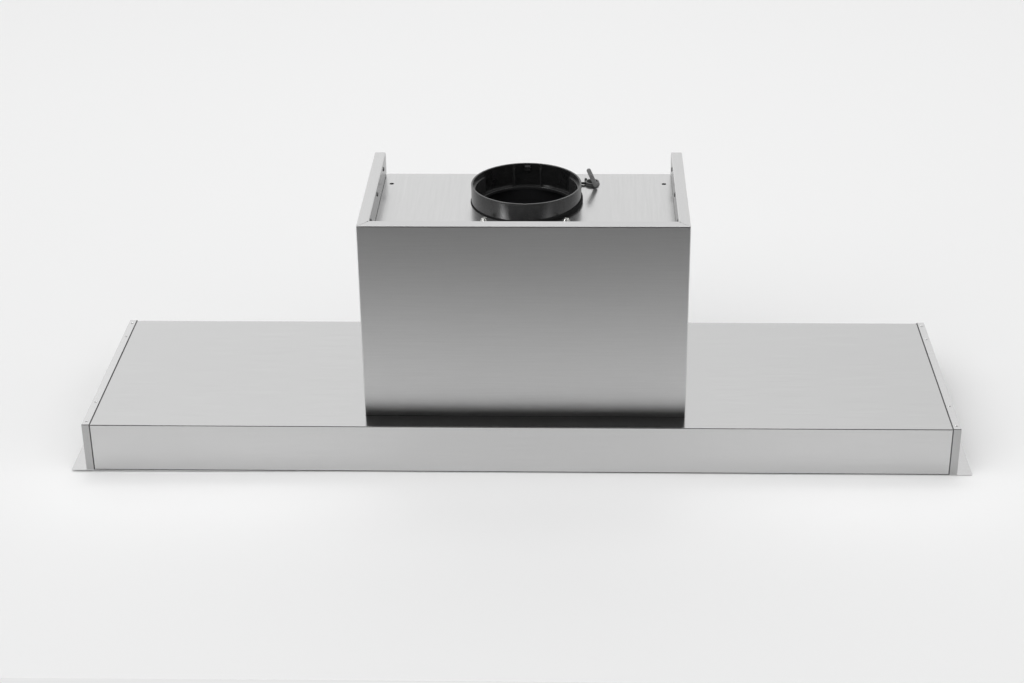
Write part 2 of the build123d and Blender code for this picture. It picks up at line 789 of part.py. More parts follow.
def duct_collar():
    inner = collar_bore
    root = inner + collar_wall / 2
    neck_top = plate_z + seal_height + shoulder_gap
    tube = rod(collar_radius, (neck_top, rim_z)) + rod(collar_neck, (collar_foot, neck_top))
    tube -= rod(inner, (collar_foot, rim_z))
    tube = fillet(tube.edges().group_by(Axis.Z)[-1], rim_round)
    flange_low = plate_z - sheet - collar_flange_sheet
    tube += ring(collar_flange_radius, inner, (flange_low, plate_z - sheet))
    ledge_z = rim_z - ledge_below_rim
    tube += ring(root, ledge_radius, (collar_foot, ledge_z))
    wedge_x = 2 * inner
    wedge_y = wedge_x * math.tan(math.radians(pad_angle))
    wedge = make_face(Polyline((0, 0), (wedge_x, -wedge_y), (wedge_x, wedge_y), close=True))
    pad_z = (ledge_z, rim_z - pad_below_rim)
    pad = ring(root, inner - pad_depth, pad_z) & (Pos(0, 0, pad_z[0]) * extrude(wedge, collar_depth))
    rib = block((inner - pad_depth, root), (-rib_width / 2, rib_width / 2), (ledge_z, rim_z - rib_below_rim))
    socket_top = rim_z - socket_below_rim
    socket = block((inner - socket_depth, root), (-socket_width / 2, socket_width / 2),
                   (socket_top - socket_height, socket_top))
    for y in (-socket_width / 4, socket_width / 4):
        socket -= rod_x(socket_hole, (inner - socket_depth - past, inner - past), y, socket_top - socket_hole_drop)
    collar = Pos(duct_x, duct_y, 0) * tube
    for angle in (0, 180):
        collar += on_collar(angle, pad)
    for angle in (90, 270):
        collar += on_collar(angle, socket)
        for turn in (-rib_angle, rib_angle):
            collar += on_collar(angle + turn, rib)
    for x, y in collar_screw_places():
        collar += rod(boss_radius, (collar_foot, flange_low), x, y)
        collar -= rod(screw_radius + running, (collar_foot - past, plate_z), x, y)
    return collar


def collar_seal():
    """A rubber ring round the collar's neck on top of the plate."""
    inner = collar_neck + seal_slip
    bead = ring(inner + seal_width, inner, (plate_z, plate_z + seal_height))
    bead = fillet(bead.edges().group_by(Axis.Z)[-1].sort_by(SortBy.LENGTH)[-1], seal_width / 2)
    return Pos(duct_x, duct_y, 0) * bead


def collar_washers():
    level = (plate_z, plate_z + washer_sheet)
    return group([ring(washer_radius, screw_radius + running, level, x, y) for x, y in collar_screw_places()])


def collar_screws():
    at = plate_z + washer_sheet
    length = at - housing_flange[0]
    return group([Pos(x, y, at) * pan_screw(length) for x, y in collar_screw_places()])


# Cable gland: a snap-in bush for the mains lead, with its wedge standing open
gland_radius = 10.8
gland_rise = 7.0
gland_base_radius = 12.0
gland_base_rise = 2.5
gland_base_round = 1.0
gland_edge = 0.5
gland_below = 5.0
wedge_width = 7.0
wedge_sheet = 3.0
wedge_length = 24.0
wedge_lean = 26.0
wedge_lift = 1.6
wedge_groove = 1.0
strap_radius = 1.7
strap_length = 15.0
strap_lift = 0.5
knob_radius = 1.8
knob_angle = 144.0
knob_rise = 4.0


def cable_gland():
    base = rod(gland_base_radius, (plate_z, plate_z + gland_base_rise))
    base = fillet(base.edges().sort_by(Axis.Z)[-1], gland_base_round)
    body = base + rod(gland_radius, (plate_z, plate_z + gland_rise))
    body = fillet(body.edges().group_by(Axis.Z)[-1], gland_edge)
    body += rod(gland_barrel, (plate_z - gland_below, plate_z))
    knob_x = gland_radius * math.cos(math.radians(knob_angle))
    knob_y = gland_radius * math.sin(math.radians(knob_angle))
    body += rod(knob_radius, (plate_z, plate_z + gland_rise + knob_rise), knob_x, knob_y)
    strap_y = -gland_radius / 4
    strap_z = plate_z + strap_radius + strap_lift
    body += rod_x(strap_radius, (-strap_length, -gland_bore), strap_y, strap_z)
    body += Pos(-strap_length, strap_y, strap_z) * Sphere(strap_radius)
    body -= rod(gland_bore, (plate_z - gland_below - past, plate_z + gland_rise + past))
    return Pos(gland_x, gland_y, 0) * body


def gland_wedge():
    half = wedge_width / 2
    tongue = block((-half, half), (-wedge_sheet, 0), (0, wedge_length - half))
    tongue += rod_y(half, 0, (-wedge_sheet, 0), wedge_length - half)
    groove = block((-half / 2, half / 2), (-wedge_sheet - past, -wedge_sheet + wedge_groove),
                   (wedge_groove, wedge_length - half))
    tongue -= groove
    foot_x = gland_x + gland_radius / 2
    foot_y = gland_y - gland_base_radius
    return Pos(foot_x, foot_y, plate_z + wedge_lift) * Rot(0, -wedge_lean, 0) * tongue


# Terminal box: a plastic box under the plate that the mains lead enters through the gland
terminal_height = 38.0
terminal_wall = 2.0
terminal_length = 63.0
terminal_depth = 41.0
terminal_edge = gland_barrel + slip + terminal_wall
terminal_x = (gland_x - terminal_edge, gland_x - terminal_edge + terminal_length)
terminal_y = (gland_y - terminal_edge, gland_y - terminal_edge + terminal_depth)


def terminal_box():
    level = (plate_z - sheet - terminal_height, plate_z - sheet)
    inset = terminal_wall
    box = block(terminal_x, terminal_y, level)
    box -= block((terminal_x[0] + inset, terminal_x[1] - inset), (terminal_y[0] + inset, terminal_y[1] - inset),
                 (level[0] + inset, level[1] + past))
    return box


# Blower housing: a spiral scroll in two plastic halves that hangs under the collar
scroll_high = collar_foot - scroll_neck - shell_top - scroll_floor_gap - scroll_wall - scroll_step
scroll_radius = min((tower_back - tower_front - scroll_room) / 2, scroll_high / 2)
scroll_half_width = ledge_radius
scroll_y = duct_y + ledge_radius - scroll_radius - 3 * scroll_step
scroll_z = shell_top + scroll_floor_gap + scroll_wall + scroll_radius + scroll_step
outlet_y = (duct_y - ledge_radius, duct_y + ledge_radius)
axis_shift_y = 4.0
axis_shift_z = 3.0
axis_y = scroll_y + axis_shift_y
axis_z = scroll_z + axis_shift_z
wheel_radius = scroll_radius - wheel_gap
wheel_length = 2 * (scroll_half_width - wheel_end_gap)
inlet_radius = wheel_radius - blade_depth
housing_edge_x = 9.0
housing_edge_y = 14.0
housing_flange = (collar_foot - scroll_wall, collar_foot)


def scroll_face(grow, top):
    """The scroll's outline in the YZ plane: three quarter arcs, each wider than the last, and a straight outlet."""
    radii = [scroll_radius + i * scroll_step + grow for i in range(3)]
    y1, z1 = scroll_y, scroll_z
    y2 = y1 + scroll_step
    z3 = z1 + scroll_step
    over = (y1, z1 + radii[0])
    front = (y1 - radii[0], z1)
    under = (y2, z1 - radii[1])
    rear = (y2 + radii[2], z3)
    slant = math.sqrt(0.5)
    arcs = ThreePointArc(over, (y1 - radii[0] * slant, z1 + radii[0] * slant), front)
    arcs += ThreePointArc(front, (y2 - radii[1] * slant, z1 - radii[1] * slant), under)
    arcs += ThreePointArc(under, (y2 + radii[2] * slant, z3 - radii[2] * slant), rear)
    corners = [rear, (rear[0], top), (outlet_y[0] - grow, top), (outlet_y[0] - grow, over[1]), over]
    arcs += [Line(a, b) for a, b in zip(corners, corners[1:])]
    return Plane.YZ * make_face(arcs.edges())


def blower_housing():
    """Both halves together, before they are parted at the collar's middle plane."""
    wide = scroll_half_width + scroll_wall
    outer = Pos(duct_x - wide, 0, 0) * extrude(scroll_face(scroll_wall, housing_flange[0]), 2 * wide)
    inside = Pos(duct_x - scroll_half_width, 0, 0) * extrude(scroll_face(0, housing_flange[0]), 2 * scroll_half_width)
    flange_x = ledge_radius + housing_edge_x
    flange_y = ledge_radius + housing_edge_y
    flange = block((duct_x - flange_x, duct_x + flange_x), (duct_y - flange_y, duct_y + flange_y), housing_flange)
    through = (housing_flange[0] - past, housing_flange[1] + past)
    body = outer - inside + (flange - rod(ledge_radius, through, duct_x, duct_y))
    body -= rod_x(inlet_radius, (duct_x - wide - past, duct_x + wide + past), axis_y, axis_z)
    for x, y in collar_screw_places():
        body -= rod(screw_radius + running, through, x, y)
    return body


def housing_half(side):
    far = duct_x + side * body_half
    keep = block(sorted((duct_x, far)), (-body_depth, body_depth), (0, 2 * top_z))
    return blower_housing() & keep


# Impeller, shaft and motor: the wheel turns about X on the motor's shaft
hub_radius = 12.0
hub_left = 20.0
hub_right = 5.0
wheel_disc = 2.0
end_ring = 2.5
blade_inset = 0.5
motor_side_gap = 17.0
motor_radius = inlet_radius - motor_side_gap
motor_start = 8.0
motor_end_gap = 4.0
motor_end = scroll_half_width - motor_end_gap
motor_round = 6.0


def impeller():
    half = wheel_length / 2
    inner = wheel_radius - blade_depth
    disc = rod_x(wheel_radius, (-wheel_disc / 2, wheel_disc / 2), 0, 0)
    wheel = disc + rod_x(hub_radius, (-hub_left, hub_right), 0, 0)
    for near in (-half, half - end_ring):
        wheel += rod_x(wheel_radius, (near, near + end_ring), 0, 0) - rod_x(inner, (near, near + end_ring), 0, 0)
    wheel -= rod_x(shaft_radius + running, (-half, half), 0, 0)
    blade = block((-half + end_ring / 2, half - end_ring / 2), (inner + blade_inset, wheel_radius - blade_inset),
                  (-blade_sheet / 2, blade_sheet / 2))
    wheel += [Rot(i * 360 / blade_count, 0, 0) * blade for i in range(blade_count)]
    return Pos(duct_x, axis_y, axis_z) * wheel


def motor_shaft():
    return rod_x(shaft_radius, (duct_x - hub_left + past, duct_x + motor_end - 2 * past), axis_y, axis_z)


def motor():
    can = rod_x(motor_radius, (motor_start, motor_end), 0, 0)
    can = fillet(can.edges().group_by(Axis.X)[0], motor_round)
    can -= rod_x(shaft_radius + running, (motor_start - past, motor_end - past), 0, 0)
    return Pos(duct_x, axis_y, axis_z) * can


# Motor bracket: a ring on the right-hand inlet with three arms that hold the motor's end
arm_count = 3
arm_width = 14.0
bracket_sheet = 3.0
bracket_rim = 16.0
bracket_hub = 18.0
bracket_radius = inlet_radius + bracket_rim


def motor_bracket():
    near = scroll_half_width + scroll_wall
    far = near + bracket_sheet
    plate = rod_x(bracket_radius, (near, far), 0, 0) - rod_x(inlet_radius, (near, far), 0, 0)
    arm = block((near, far), (-arm_width / 2, arm_width / 2), (0, inlet_radius + past))
    plate += [Rot(i * 360 / arm_count, 0, 0) * arm for i in range(arm_count)]
    plate += rod_x(bracket_hub, (motor_end, far), 0, 0)
    return Pos(duct_x, axis_y, axis_z) * plate


# Inlet guard: a ring with crossed bars on the left-hand inlet
guard_bars = 4
guard_bar = 3.0


def inlet_guard():
    near = -scroll_half_width - scroll_wall
    far = near - bracket_sheet
    span = (far, near)
    plate = rod_x(bracket_radius, span, 0, 0) - rod_x(inlet_radius, span, 0, 0)
    bar = block(span, (-guard_bar / 2, guard_bar / 2), (-inlet_radius - past, inlet_radius + past))
    plate += [Rot(i * 180 / guard_bars, 0, 0) * bar for i in range(guard_bars)]
    plate += rod_x(inlet_radius / 2, span, 0, 0) - rod_x(inlet_radius / 2 - guard_bar, span, 0, 0)
    return Pos(duct_x, axis_y, axis_z) * plate


# Capacitor and its clip on the tower's right-hand wall
capacitor_radius = 17.0
capacitor_length = 62.0
capacitor_round = 2.0
capacitor_front = 60.0
capacitor_above_shell = 61.0
clip_sheet = 1.0
clip_width = 14.0
clip_tab = 10.0
capacitor_wall = tower_right - sheet
capacitor_x = capacitor_wall - clip_sheet - slip - capacitor_radius
capacitor_y = (tower_front + capacitor_front, tower_front + capacitor_front + capacitor_length)
capacitor_z = shell_top + capacitor_above_shell


def capacitor():
    can = rod_y(capacitor_radius, capacitor_x, capacitor_y, capacitor_z)
    return fillet(can.edges().group_by(Axis.Y)[-1], capacitor_round)


def capacitor_clip():
    middle = sum(capacitor_y) / 2
    span = (middle - clip_width / 2, middle + clip_width / 2)
    reach = capacitor_radius + clip_tab
    band = rod_y(capacitor_radius + slip + clip_sheet, capacitor_x, span, capacitor_z)
    band -= rod_y(capacitor_radius + slip, capacitor_x, span, capacitor_z)
    tabs = block((capacitor_wall - clip_sheet, capacitor_wall), span, (capacitor_z - reach, capacitor_z + reach))
    return band + tabs


# Control box and lid on the tower's left-hand wall
control_depth = 34.0
control_front = 60.0
control_length = 120.0
control_above_shell = 41.0
control_height = 90.0
control_wall = 2.0
control_lid_round = 1.0
control_y = (tower_front + control_front, tower_front + control_front + control_length)
control_z = (shell_top + control_above_shell, shell_top + control_above_shell + control_height)


def control_box():
    near = tower_left + sheet
    inset = control_wall
    box = block((near, near + control_depth), control_y, control_z)
    box -= block((near + inset, near + control_depth + past), (control_y[0] + inset, control_y[1] - inset),
                 (control_z[0] + inset, control_z[1] - inset))
    return box


def control_box_lid():
    near = tower_left + sheet + control_depth
    lid = block((near, near + control_wall), control_y, control_z)
    return fillet(lid.edges().group_by(Axis.X)[-1], control_lid_round)


# Every piece under the name of its node
pieces = {
    "canopy_shell": canopy_shell(),
    "end_cap_right": end_cap(),
    "end_cap_left": mirrored(end_cap()),
    "end_cap_rivets": end_cap_rivets(),
    "trim_flange": trim_flange(),
    "trim_screws": trim_screws(),
    "underside_panel": underside_panel(),
    "filter_pivot_brackets": filter_pivot_brackets(),
    "lamp_bezel_left": lamp_bezel(lamp_xs[0]),
    "lamp_bezel_right": lamp_bezel(lamp_xs[1]),
    "lamp_lens_left": lamp_lens(lamp_xs[0]),
    "lamp_lens_right": lamp_lens(lamp_xs[1]),
    "lamp_housing_left": lamp_housing(lamp_xs[0]),
    "lamp_housing_right": lamp_housing(lamp_xs[1]),
    "control_bezel": control_bezel(),
    "switch_module": switch_module(),
    "led_driver": led_driver(),
    "tower_cover": tower_cover(),
    "tower_screws": tower_screws(),
    "lip_screws": lip_screws(),
    "top_plate": top_plate(),
    "back_panel": back_panel(),
    "duct_collar": duct_collar(),
    "collar_seal": collar_seal(),
    "collar_washers": collar_washers(),
    "collar_screws": collar_screws(),
    "cable_gland": cable_gland(),
    "gland_wedge": gland_wedge(),
    "terminal_box": terminal_box(),
    "blower_housing_left": housing_half(-1),
    "blower_housing_right": housing_half(1),
    "impeller": impeller(),
    "motor_shaft": motor_shaft(),
    "motor": motor(),
    "motor_bracket": motor_bracket(),
    "inlet_guard": inlet_guard(),
    "capacitor": capacitor(),
    "capacitor_clip": capacitor_clip(),
    "control_box": control_box(),
    "control_box_lid": control_box_lid(),
}
for number, x in enumerate(filter_xs, start=1):
    pieces[f"filter_frame_{number}"] = filter_frame(x)
    pieces[f"filter_mesh_{number}"] = filter_mesh(x)
    pieces[f"filter_latch_{number}"] = filter_latch(x)
for name, x in zip(button_names, button_xs):
    pieces[name] = push_button(x)

os.makedirs("parts", exist_ok=True)
for name, solid in pieces.items():
    export_step(solid, f"parts/{name}.step")
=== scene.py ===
"""Looks of a built-in range hood: folded steel sheet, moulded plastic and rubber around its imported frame, in metres."""
import json
import math

import bpy
import numpy as np
from mathutils import Matrix, Vector


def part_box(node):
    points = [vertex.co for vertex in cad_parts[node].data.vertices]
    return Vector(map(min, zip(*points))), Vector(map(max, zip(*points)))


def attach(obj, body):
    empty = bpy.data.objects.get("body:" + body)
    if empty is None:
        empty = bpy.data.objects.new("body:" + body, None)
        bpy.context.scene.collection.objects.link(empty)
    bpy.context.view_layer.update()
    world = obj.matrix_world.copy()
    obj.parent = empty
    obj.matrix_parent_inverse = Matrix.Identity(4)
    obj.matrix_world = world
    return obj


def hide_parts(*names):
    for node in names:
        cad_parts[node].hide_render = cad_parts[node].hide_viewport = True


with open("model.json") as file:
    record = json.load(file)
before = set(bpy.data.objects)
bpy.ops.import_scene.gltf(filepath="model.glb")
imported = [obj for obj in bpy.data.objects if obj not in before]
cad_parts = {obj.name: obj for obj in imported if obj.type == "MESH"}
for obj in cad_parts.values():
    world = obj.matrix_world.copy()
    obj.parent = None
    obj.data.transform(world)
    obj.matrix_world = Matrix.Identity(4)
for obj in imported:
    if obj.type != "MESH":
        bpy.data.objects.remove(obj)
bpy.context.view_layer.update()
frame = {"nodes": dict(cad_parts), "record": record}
node = frame["nodes"]

# Camera: stands in front of the hood and a little above it, and looks down on its front and top.
# It is turned a little to the left and tilted by less than a degree, as a hand-held one is.
camera_place, focal_length = (0.07795, -2.42168, 1.33026), 69.135
yaw, pitch, roll = -0.0373594, 0.4644216, -0.0127939
ahead = Vector((math.sin(yaw) * math.cos(pitch), math.cos(yaw) * math.cos(pitch), -math.sin(pitch)))
level_right = Vector((math.cos(yaw), -math.sin(yaw), 0))
level_up = level_right.cross(ahead)
camera_right = math.cos(roll) * level_right + math.sin(roll) * level_up
camera_up = math.cos(roll) * level_up - math.sin(roll) * level_right
camera = bpy.data.objects.new("camera", bpy.data.cameras.new("camera"))
camera.data.sensor_width = 36.0
camera.data.lens = focal_length
camera.data.clip_end = 60.0
camera.matrix_world = Matrix.Translation(camera_place) @ Matrix(
    (camera_right, camera_up, -ahead)).transposed().to_4x4()
bpy.context.scene.collection.objects.link(camera)
bpy.context.scene.camera = camera
bpy.context.scene.view_settings.view_transform = "Standard"


# Studio: a pale paper floor that ends in front of the hood, in a room that is bright above, behind and at the sides.
# The room is dark low down in front, which is what the tower's front and the strip of canopy before it mirror.
floor_colour = (0.86, 0.86, 0.86)
floor_front, floor_back, floor_side = -0.62, 24.0, 24.0
# The paper sags by two millimetres towards the left, where the trim flange stands clear of it. It is open under the
# hood, where nothing shows from above, so that the filters swing down freely and light reaches the underside.
sag_start, sag_end, slight_sag, full_sag = -0.22, -0.62, -0.0003, -0.0024
opening_x, opening_y = 0.545, 0.130


def new_material(name):
    """An empty node material and its nodes, links and Principled shader."""
    material = bpy.data.materials.new(name)
    material.use_nodes = True
    nodes, links = material.node_tree.nodes, material.node_tree.links
    return material, nodes, links, nodes["Principled BSDF"]


def ranged(nodes, links, value, low, high, start=0.0, end=1.0):
    """The value carried from start..end to low..high, and kept inside it."""
    change = nodes.new("ShaderNodeMapRange")
    for socket, number in zip(("From Min", "From Max", "To Min", "To Max"), (start, end, low, high)):
        change.inputs[socket].default_value = number
    links.new(value, change.inputs["Value"])
    return change.outputs["Result"]


def blended(nodes, links, share, first, second, kind="MIX"):
    """Two colours mixed by a share. Each may be a socket or three numbers."""
    mix = nodes.new("ShaderNodeMix")
    mix.data_type = "RGBA"
    mix.blend_type = kind
    for slot, value in ((0, share), (6, first), (7, second)):
        if isinstance(value, bpy.types.NodeSocket):
            links.new(value, mix.inputs[slot])
        else:
            mix.inputs[slot].default_value = value if slot == 0 else (*value, 1)
    return mix.outputs[2]


def quads(rows, columns, keep=None):
    """Corner numbers of the cells of a grid, row by row."""
    at = np.arange(rows * columns).reshape(rows, columns)
    cells = np.stack([at[:-1, :-1], at[:-1, 1:], at[1:, 1:], at[1:, :-1]], -1).reshape(-1, 4)
    return cells if keep is None else cells[keep.ravel()]


floor_x = np.array((-floor_side, sag_end, -opening_x, sag_start, opening_x, floor_side))
floor_y = np.array((floor_front, -opening_y, opening_y, floor_back))
sag = np.interp(floor_x, (sag_end, sag_start), (full_sag, slight_sag))
ground = bpy.data.meshes.new("studio_floor")
sheet = np.stack(np.broadcast_arrays(floor_x[None, :], floor_y[:, None], sag[None, :]), -1).reshape(-1, 3)
solid = np.ones((len(floor_y) - 1, len(floor_x) - 1), bool)
solid[1, 2:4] = False
ground.from_pydata(sheet.tolist(), [], quads(len(floor_y), len(floor_x), solid).tolist())
floor = bpy.data.objects.new("studio_floor", ground)
bpy.context.scene.collection.objects.link(floor)

floor_finish, nodes, links, shader = new_material("floor_paper")
shader.inputs["Base Color"].default_value = (*floor_colour, 1)
shader.inputs["Roughness"].default_value = 0.9
shader.inputs["Specular IOR Level"].default_value = 0.1
# From below the paper is clear, so that a low view isn't blocked.
unseen = nodes.new("ShaderNodeBsdfTransparent")
facing = nodes.new("ShaderNodeNewGeometry")
either = nodes.new("ShaderNodeMixShader")
links.new(facing.outputs["Backfacing"], either.inputs[0])
links.new(shader.outputs["BSDF"], either.inputs[1])
links.new(unseen.outputs[0], either.inputs[2])
links.new(either.outputs[0], nodes["Material Output"].inputs["Surface"])
ground.materials.append(floor_finish)

room = bpy.data.worlds.new("studio")
bpy.context.scene.world = room
room.use_nodes = True
nodes, links = room.node_tree.nodes, room.node_tree.links
ways = nodes.new("ShaderNodeTexCoord")
split = nodes.new("ShaderNodeSeparateXYZ")
links.new(ways.outputs["Generated"], split.inputs[0])
rightward, backward, upward = (split.outputs[axis] for axis in "XYZ")
# The dark part is what looks forward, under the overhead light and between the bright sides. Each limit gives the
# share of dark that stays on either side of it, and the two places along its axis between which it changes.
in_dark = ranged(nodes, links, backward, 1.0, 0.0, -0.35, 0.05)
for way, *limits in ((upward, 1.0, 0.0, 0.88, 1.0), (rightward, 0.0, 1.0, -0.72, -0.50),
                     (rightward, 1.0, 0.15, 0.50, 0.68)):
    product = nodes.new("ShaderNodeMath")
    product.operation = "MULTIPLY"
    links.new(in_dark, product.inputs[0])
    links.new(ranged(nodes, links, way, *limits), product.inputs[1])
    in_dark = product.outputs[0]
walls_tone, ceiling_tone, left_share, right_share = 1.03, 0.52, 1.03, 0.90
low_tone, dark_tone, camera_tone = 0.11, 0.008, 0.80
overhead = ranged(nodes, links, upward, 0.0, 1.0, 0.6, 0.85)
from_left = ranged(nodes, links, rightward, left_share, right_share, -0.3, 0.3)
raised = ranged(nodes, links, upward, 0.0, 1.0, -0.10, 0.10)
bright = blended(nodes, links, overhead, (walls_tone,) * 3, (ceiling_tone,) * 3)
bright = blended(nodes, links, 1.0, bright, from_left, "MULTIPLY")
dark = blended(nodes, links, raised, (low_tone,) * 3, (dark_tone,) * 3)
mirrored_room = blended(nodes, links, in_dark, bright, dark)
rays = nodes.new("ShaderNodeLightPath")
links.new(blended(nodes, links, rays.outputs["Is Camera Ray"], mirrored_room, (camera_tone,) * 3),
          nodes["Background"].inputs["Color"])


def hung(name, lamp, way, place=(0, 0, 0)):
    """A lamp's object at its place, turned so that it shines away from the direction given."""
    holder = bpy.data.objects.new(name, lamp)
    holder.matrix_world = Matrix.Translation(place) @ Vector(way).to_track_quat("Z", "Y").to_matrix().to_4x4()
    bpy.context.scene.collection.objects.link(holder)
    return holder


for name, way, power in (("left_sun", (-0.7, -0.9, 1.3), 1.05), ("right_sun", (0.6, -1.0, 1.3), 0.53)):
    lamp = bpy.data.lights.new(name, "SUN")
    lamp.energy = power
    lamp.angle = math.radians(50)
    hung(name, lamp, way).visible_glossy = False

# Soft boxes: the two at the sides show only as highlights, the one overhead and behind also lights matt surfaces, and
# a strip lights the floor in front of the hood and shows in nothing.
hood_middle = Vector((0, 0, 0.3))
for name, place, (width, depth), power, in_gloss, on_matt in (
        ("left_box", (-2.19, -2.08, 1.60), (0.50, 1.4), 28.0, True, False),
        ("right_box", (2.16, -2.10, 1.60), (0.80, 1.4), 7.0, True, False),
        ("top_box", (-0.2, 1.3, 3.1), (2.2, 0.7), 11.0, True, True),
        ("floor_strip", (0.0, -0.185, 0.15), (1.25, 0.04), 0.26, False, True)):
    lamp = bpy.data.lights.new(name, "AREA")
    lamp.shape = "RECTANGLE"
    lamp.size, lamp.size_y = width, depth
    lamp.energy = power
    holder = hung(name, lamp, Vector(place) - hood_middle if in_gloss else (0, 0, 1), place)
    holder.visible_camera = False
    holder.visible_diffuse = on_matt
    holder.visible_glossy = in_gloss


# Canopy shell: the long low channel, folded from brushed stainless sheet with its grain along the hood.
# It has turned-in hems below and the blower's opening in its top.
def rounded_path(corners, radii, steps=5, spacing=None):
    """Straight runs between corners. Each inner corner becomes an arc of its radius that touches both runs."""
    corners = np.asarray(corners, float)
    out = [corners[:1]]
    radii = np.broadcast_to(radii, len(corners) - 2)
    for before, at, after, radius in zip(corners, corners[1:], corners[2:], radii):
        u, v = (before - at) / np.linalg.norm(before - at), (after - at) / np.linalg.norm(after - at)
        half = math.acos(np.clip(u @ v, -1, 1)) / 2
        centre = at + (u + v) / np.linalg.norm(u + v) * radius / math.sin(half)
        a, b = at + u * radius / math.tan(half) - centre, at + v * radius / math.tan(half) - centre
        sweep = math.pi - 2 * half
        t = np.linspace(0, 1, steps + 1)[:, None]
        out.append(centre + (np.sin((1 - t) * sweep) * a + np.sin(t * sweep) * b) / math.sin(sweep))
    path = np.concatenate([*out, corners[-1:]])
    if spacing is None:
        return path
    gap = np.linalg.norm(np.diff(path, axis=0), axis=1)
    runs = [np.linspace(p, q, max(1, int(g / spacing)), endpoint=False) for p, q, g in zip(path, path[1:], gap)]
    return np.concatenate([*runs, path[-1:]])


def run_length(path):
    """The distance along a path up to each of its points."""
    return np.concatenate([[0], np.cumsum(np.linalg.norm(np.diff(path, axis=0), axis=1))])


def patch(points, uv=None, keep=None, inside=None):
    """A grid of points (rows, columns, 3) with its unfolded place in metres as UV, and a point on its inner side."""
    if uv is None:
        across = run_length(points[:, points.shape[1] // 2])
        along = run_length(points[points.shape[0] // 2])
        uv = np.stack(np.broadcast_arrays(along[None, :], across[:, None]), -1)
    return points, uv, keep, inside


def facing_out(points, inside):
    """Whether a grid's faces look away from the point inside."""
    one, two = points[1:, :-1] - points[:-1, :-1], points[:-1, 1:] - points[:-1, :-1]
    return np.sum(np.cross(two, one) * (points[:-1, :-1] - inside)) > 0


def piece(name, patches, finish, stands_for=(), body="hood", inside=(0, 0, 0), wall=0.0):
    """One mesh from grids: points that meet are welded, squeezed quads become triangles, faces look outward.
    A sheet gets its wall. Edges over 40 degrees stay sharp, and folds leave the flats beside them flat.
    The piece goes on its body and in the place of the CAD nodes it stands for."""
    points, uvs, faces, start = [], [], [], 0
    for grid, uv, keep, within in patches:
        cells = quads(*grid.shape[:2], keep) + start
        if not facing_out(grid, np.asarray(inside if within is None else within)):
            cells = cells[:, ::-1]
        points.append(grid.reshape(-1, 3))
        uvs.append(uv.reshape(-1, 2))
        faces.append(cells)
        start += len(points[-1])
    points, uvs, faces = np.concatenate(points), np.concatenate(uvs), np.concatenate(faces)
    weld_gap = 2e-6
    snapped = np.round(points / weld_gap).astype(np.int64)
    _, first, welded = np.unique(snapped, axis=0, return_index=True, return_inverse=True)
    corner = welded.ravel()[faces]
    same = corner == np.roll(corner, -1, axis=1)
    whole, thin = ~same.any(1), same.sum(1) == 1
    turn = (np.argmax(same[thin], 1)[:, None] + np.arange(1, 4)) % 4
    mesh = bpy.data.meshes.new(name)
    triangles, corner_uvs = (np.take_along_axis(of[thin], turn, 1) for of in (corner, faces))
    mesh.from_pydata(points[first], [], corner[whole].tolist() + triangles.tolist())
    loops = np.concatenate([uvs[faces[whole]].reshape(-1, 2), uvs[corner_uvs].reshape(-1, 2)])
    mesh.uv_layers.new(name="unfolded").data.foreach_set("uv", loops.ravel())
    mesh.materials.append(finish)
    made = bpy.data.objects.new(name, mesh)
    bpy.context.scene.collection.objects.link(made)
    if wall:
        thick = made.modifiers.new("sheet", "SOLIDIFY")
        thick.thickness = wall
        thick.offset = -1.0
        thick.use_even_offset = True
        thick.material_offset_rim = 4
        mesh.materials.append(sheared_edge)
        shaped = bpy.context.evaluated_depsgraph_get()
        made.data = bpy.data.meshes.new_from_object(
            made.evaluated_get(shaped), preserve_all_data_layers=True, depsgraph=shaped)
        made.modifiers.clear()
        bpy.data.meshes.remove(mesh)
        made.data.name = name
    made.data.polygons.foreach_set("use_smooth", np.ones(len(made.data.polygons), bool))
    made.data.set_sharp_from_angle(angle=math.radians(40))
    flats = made.modifiers.new("flats", "WEIGHTED_NORMAL")
    flats.keep_sharp = True
    flats.weight = 90
    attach(made, body)
    if stands_for:
        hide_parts(*stands_for)
    return made


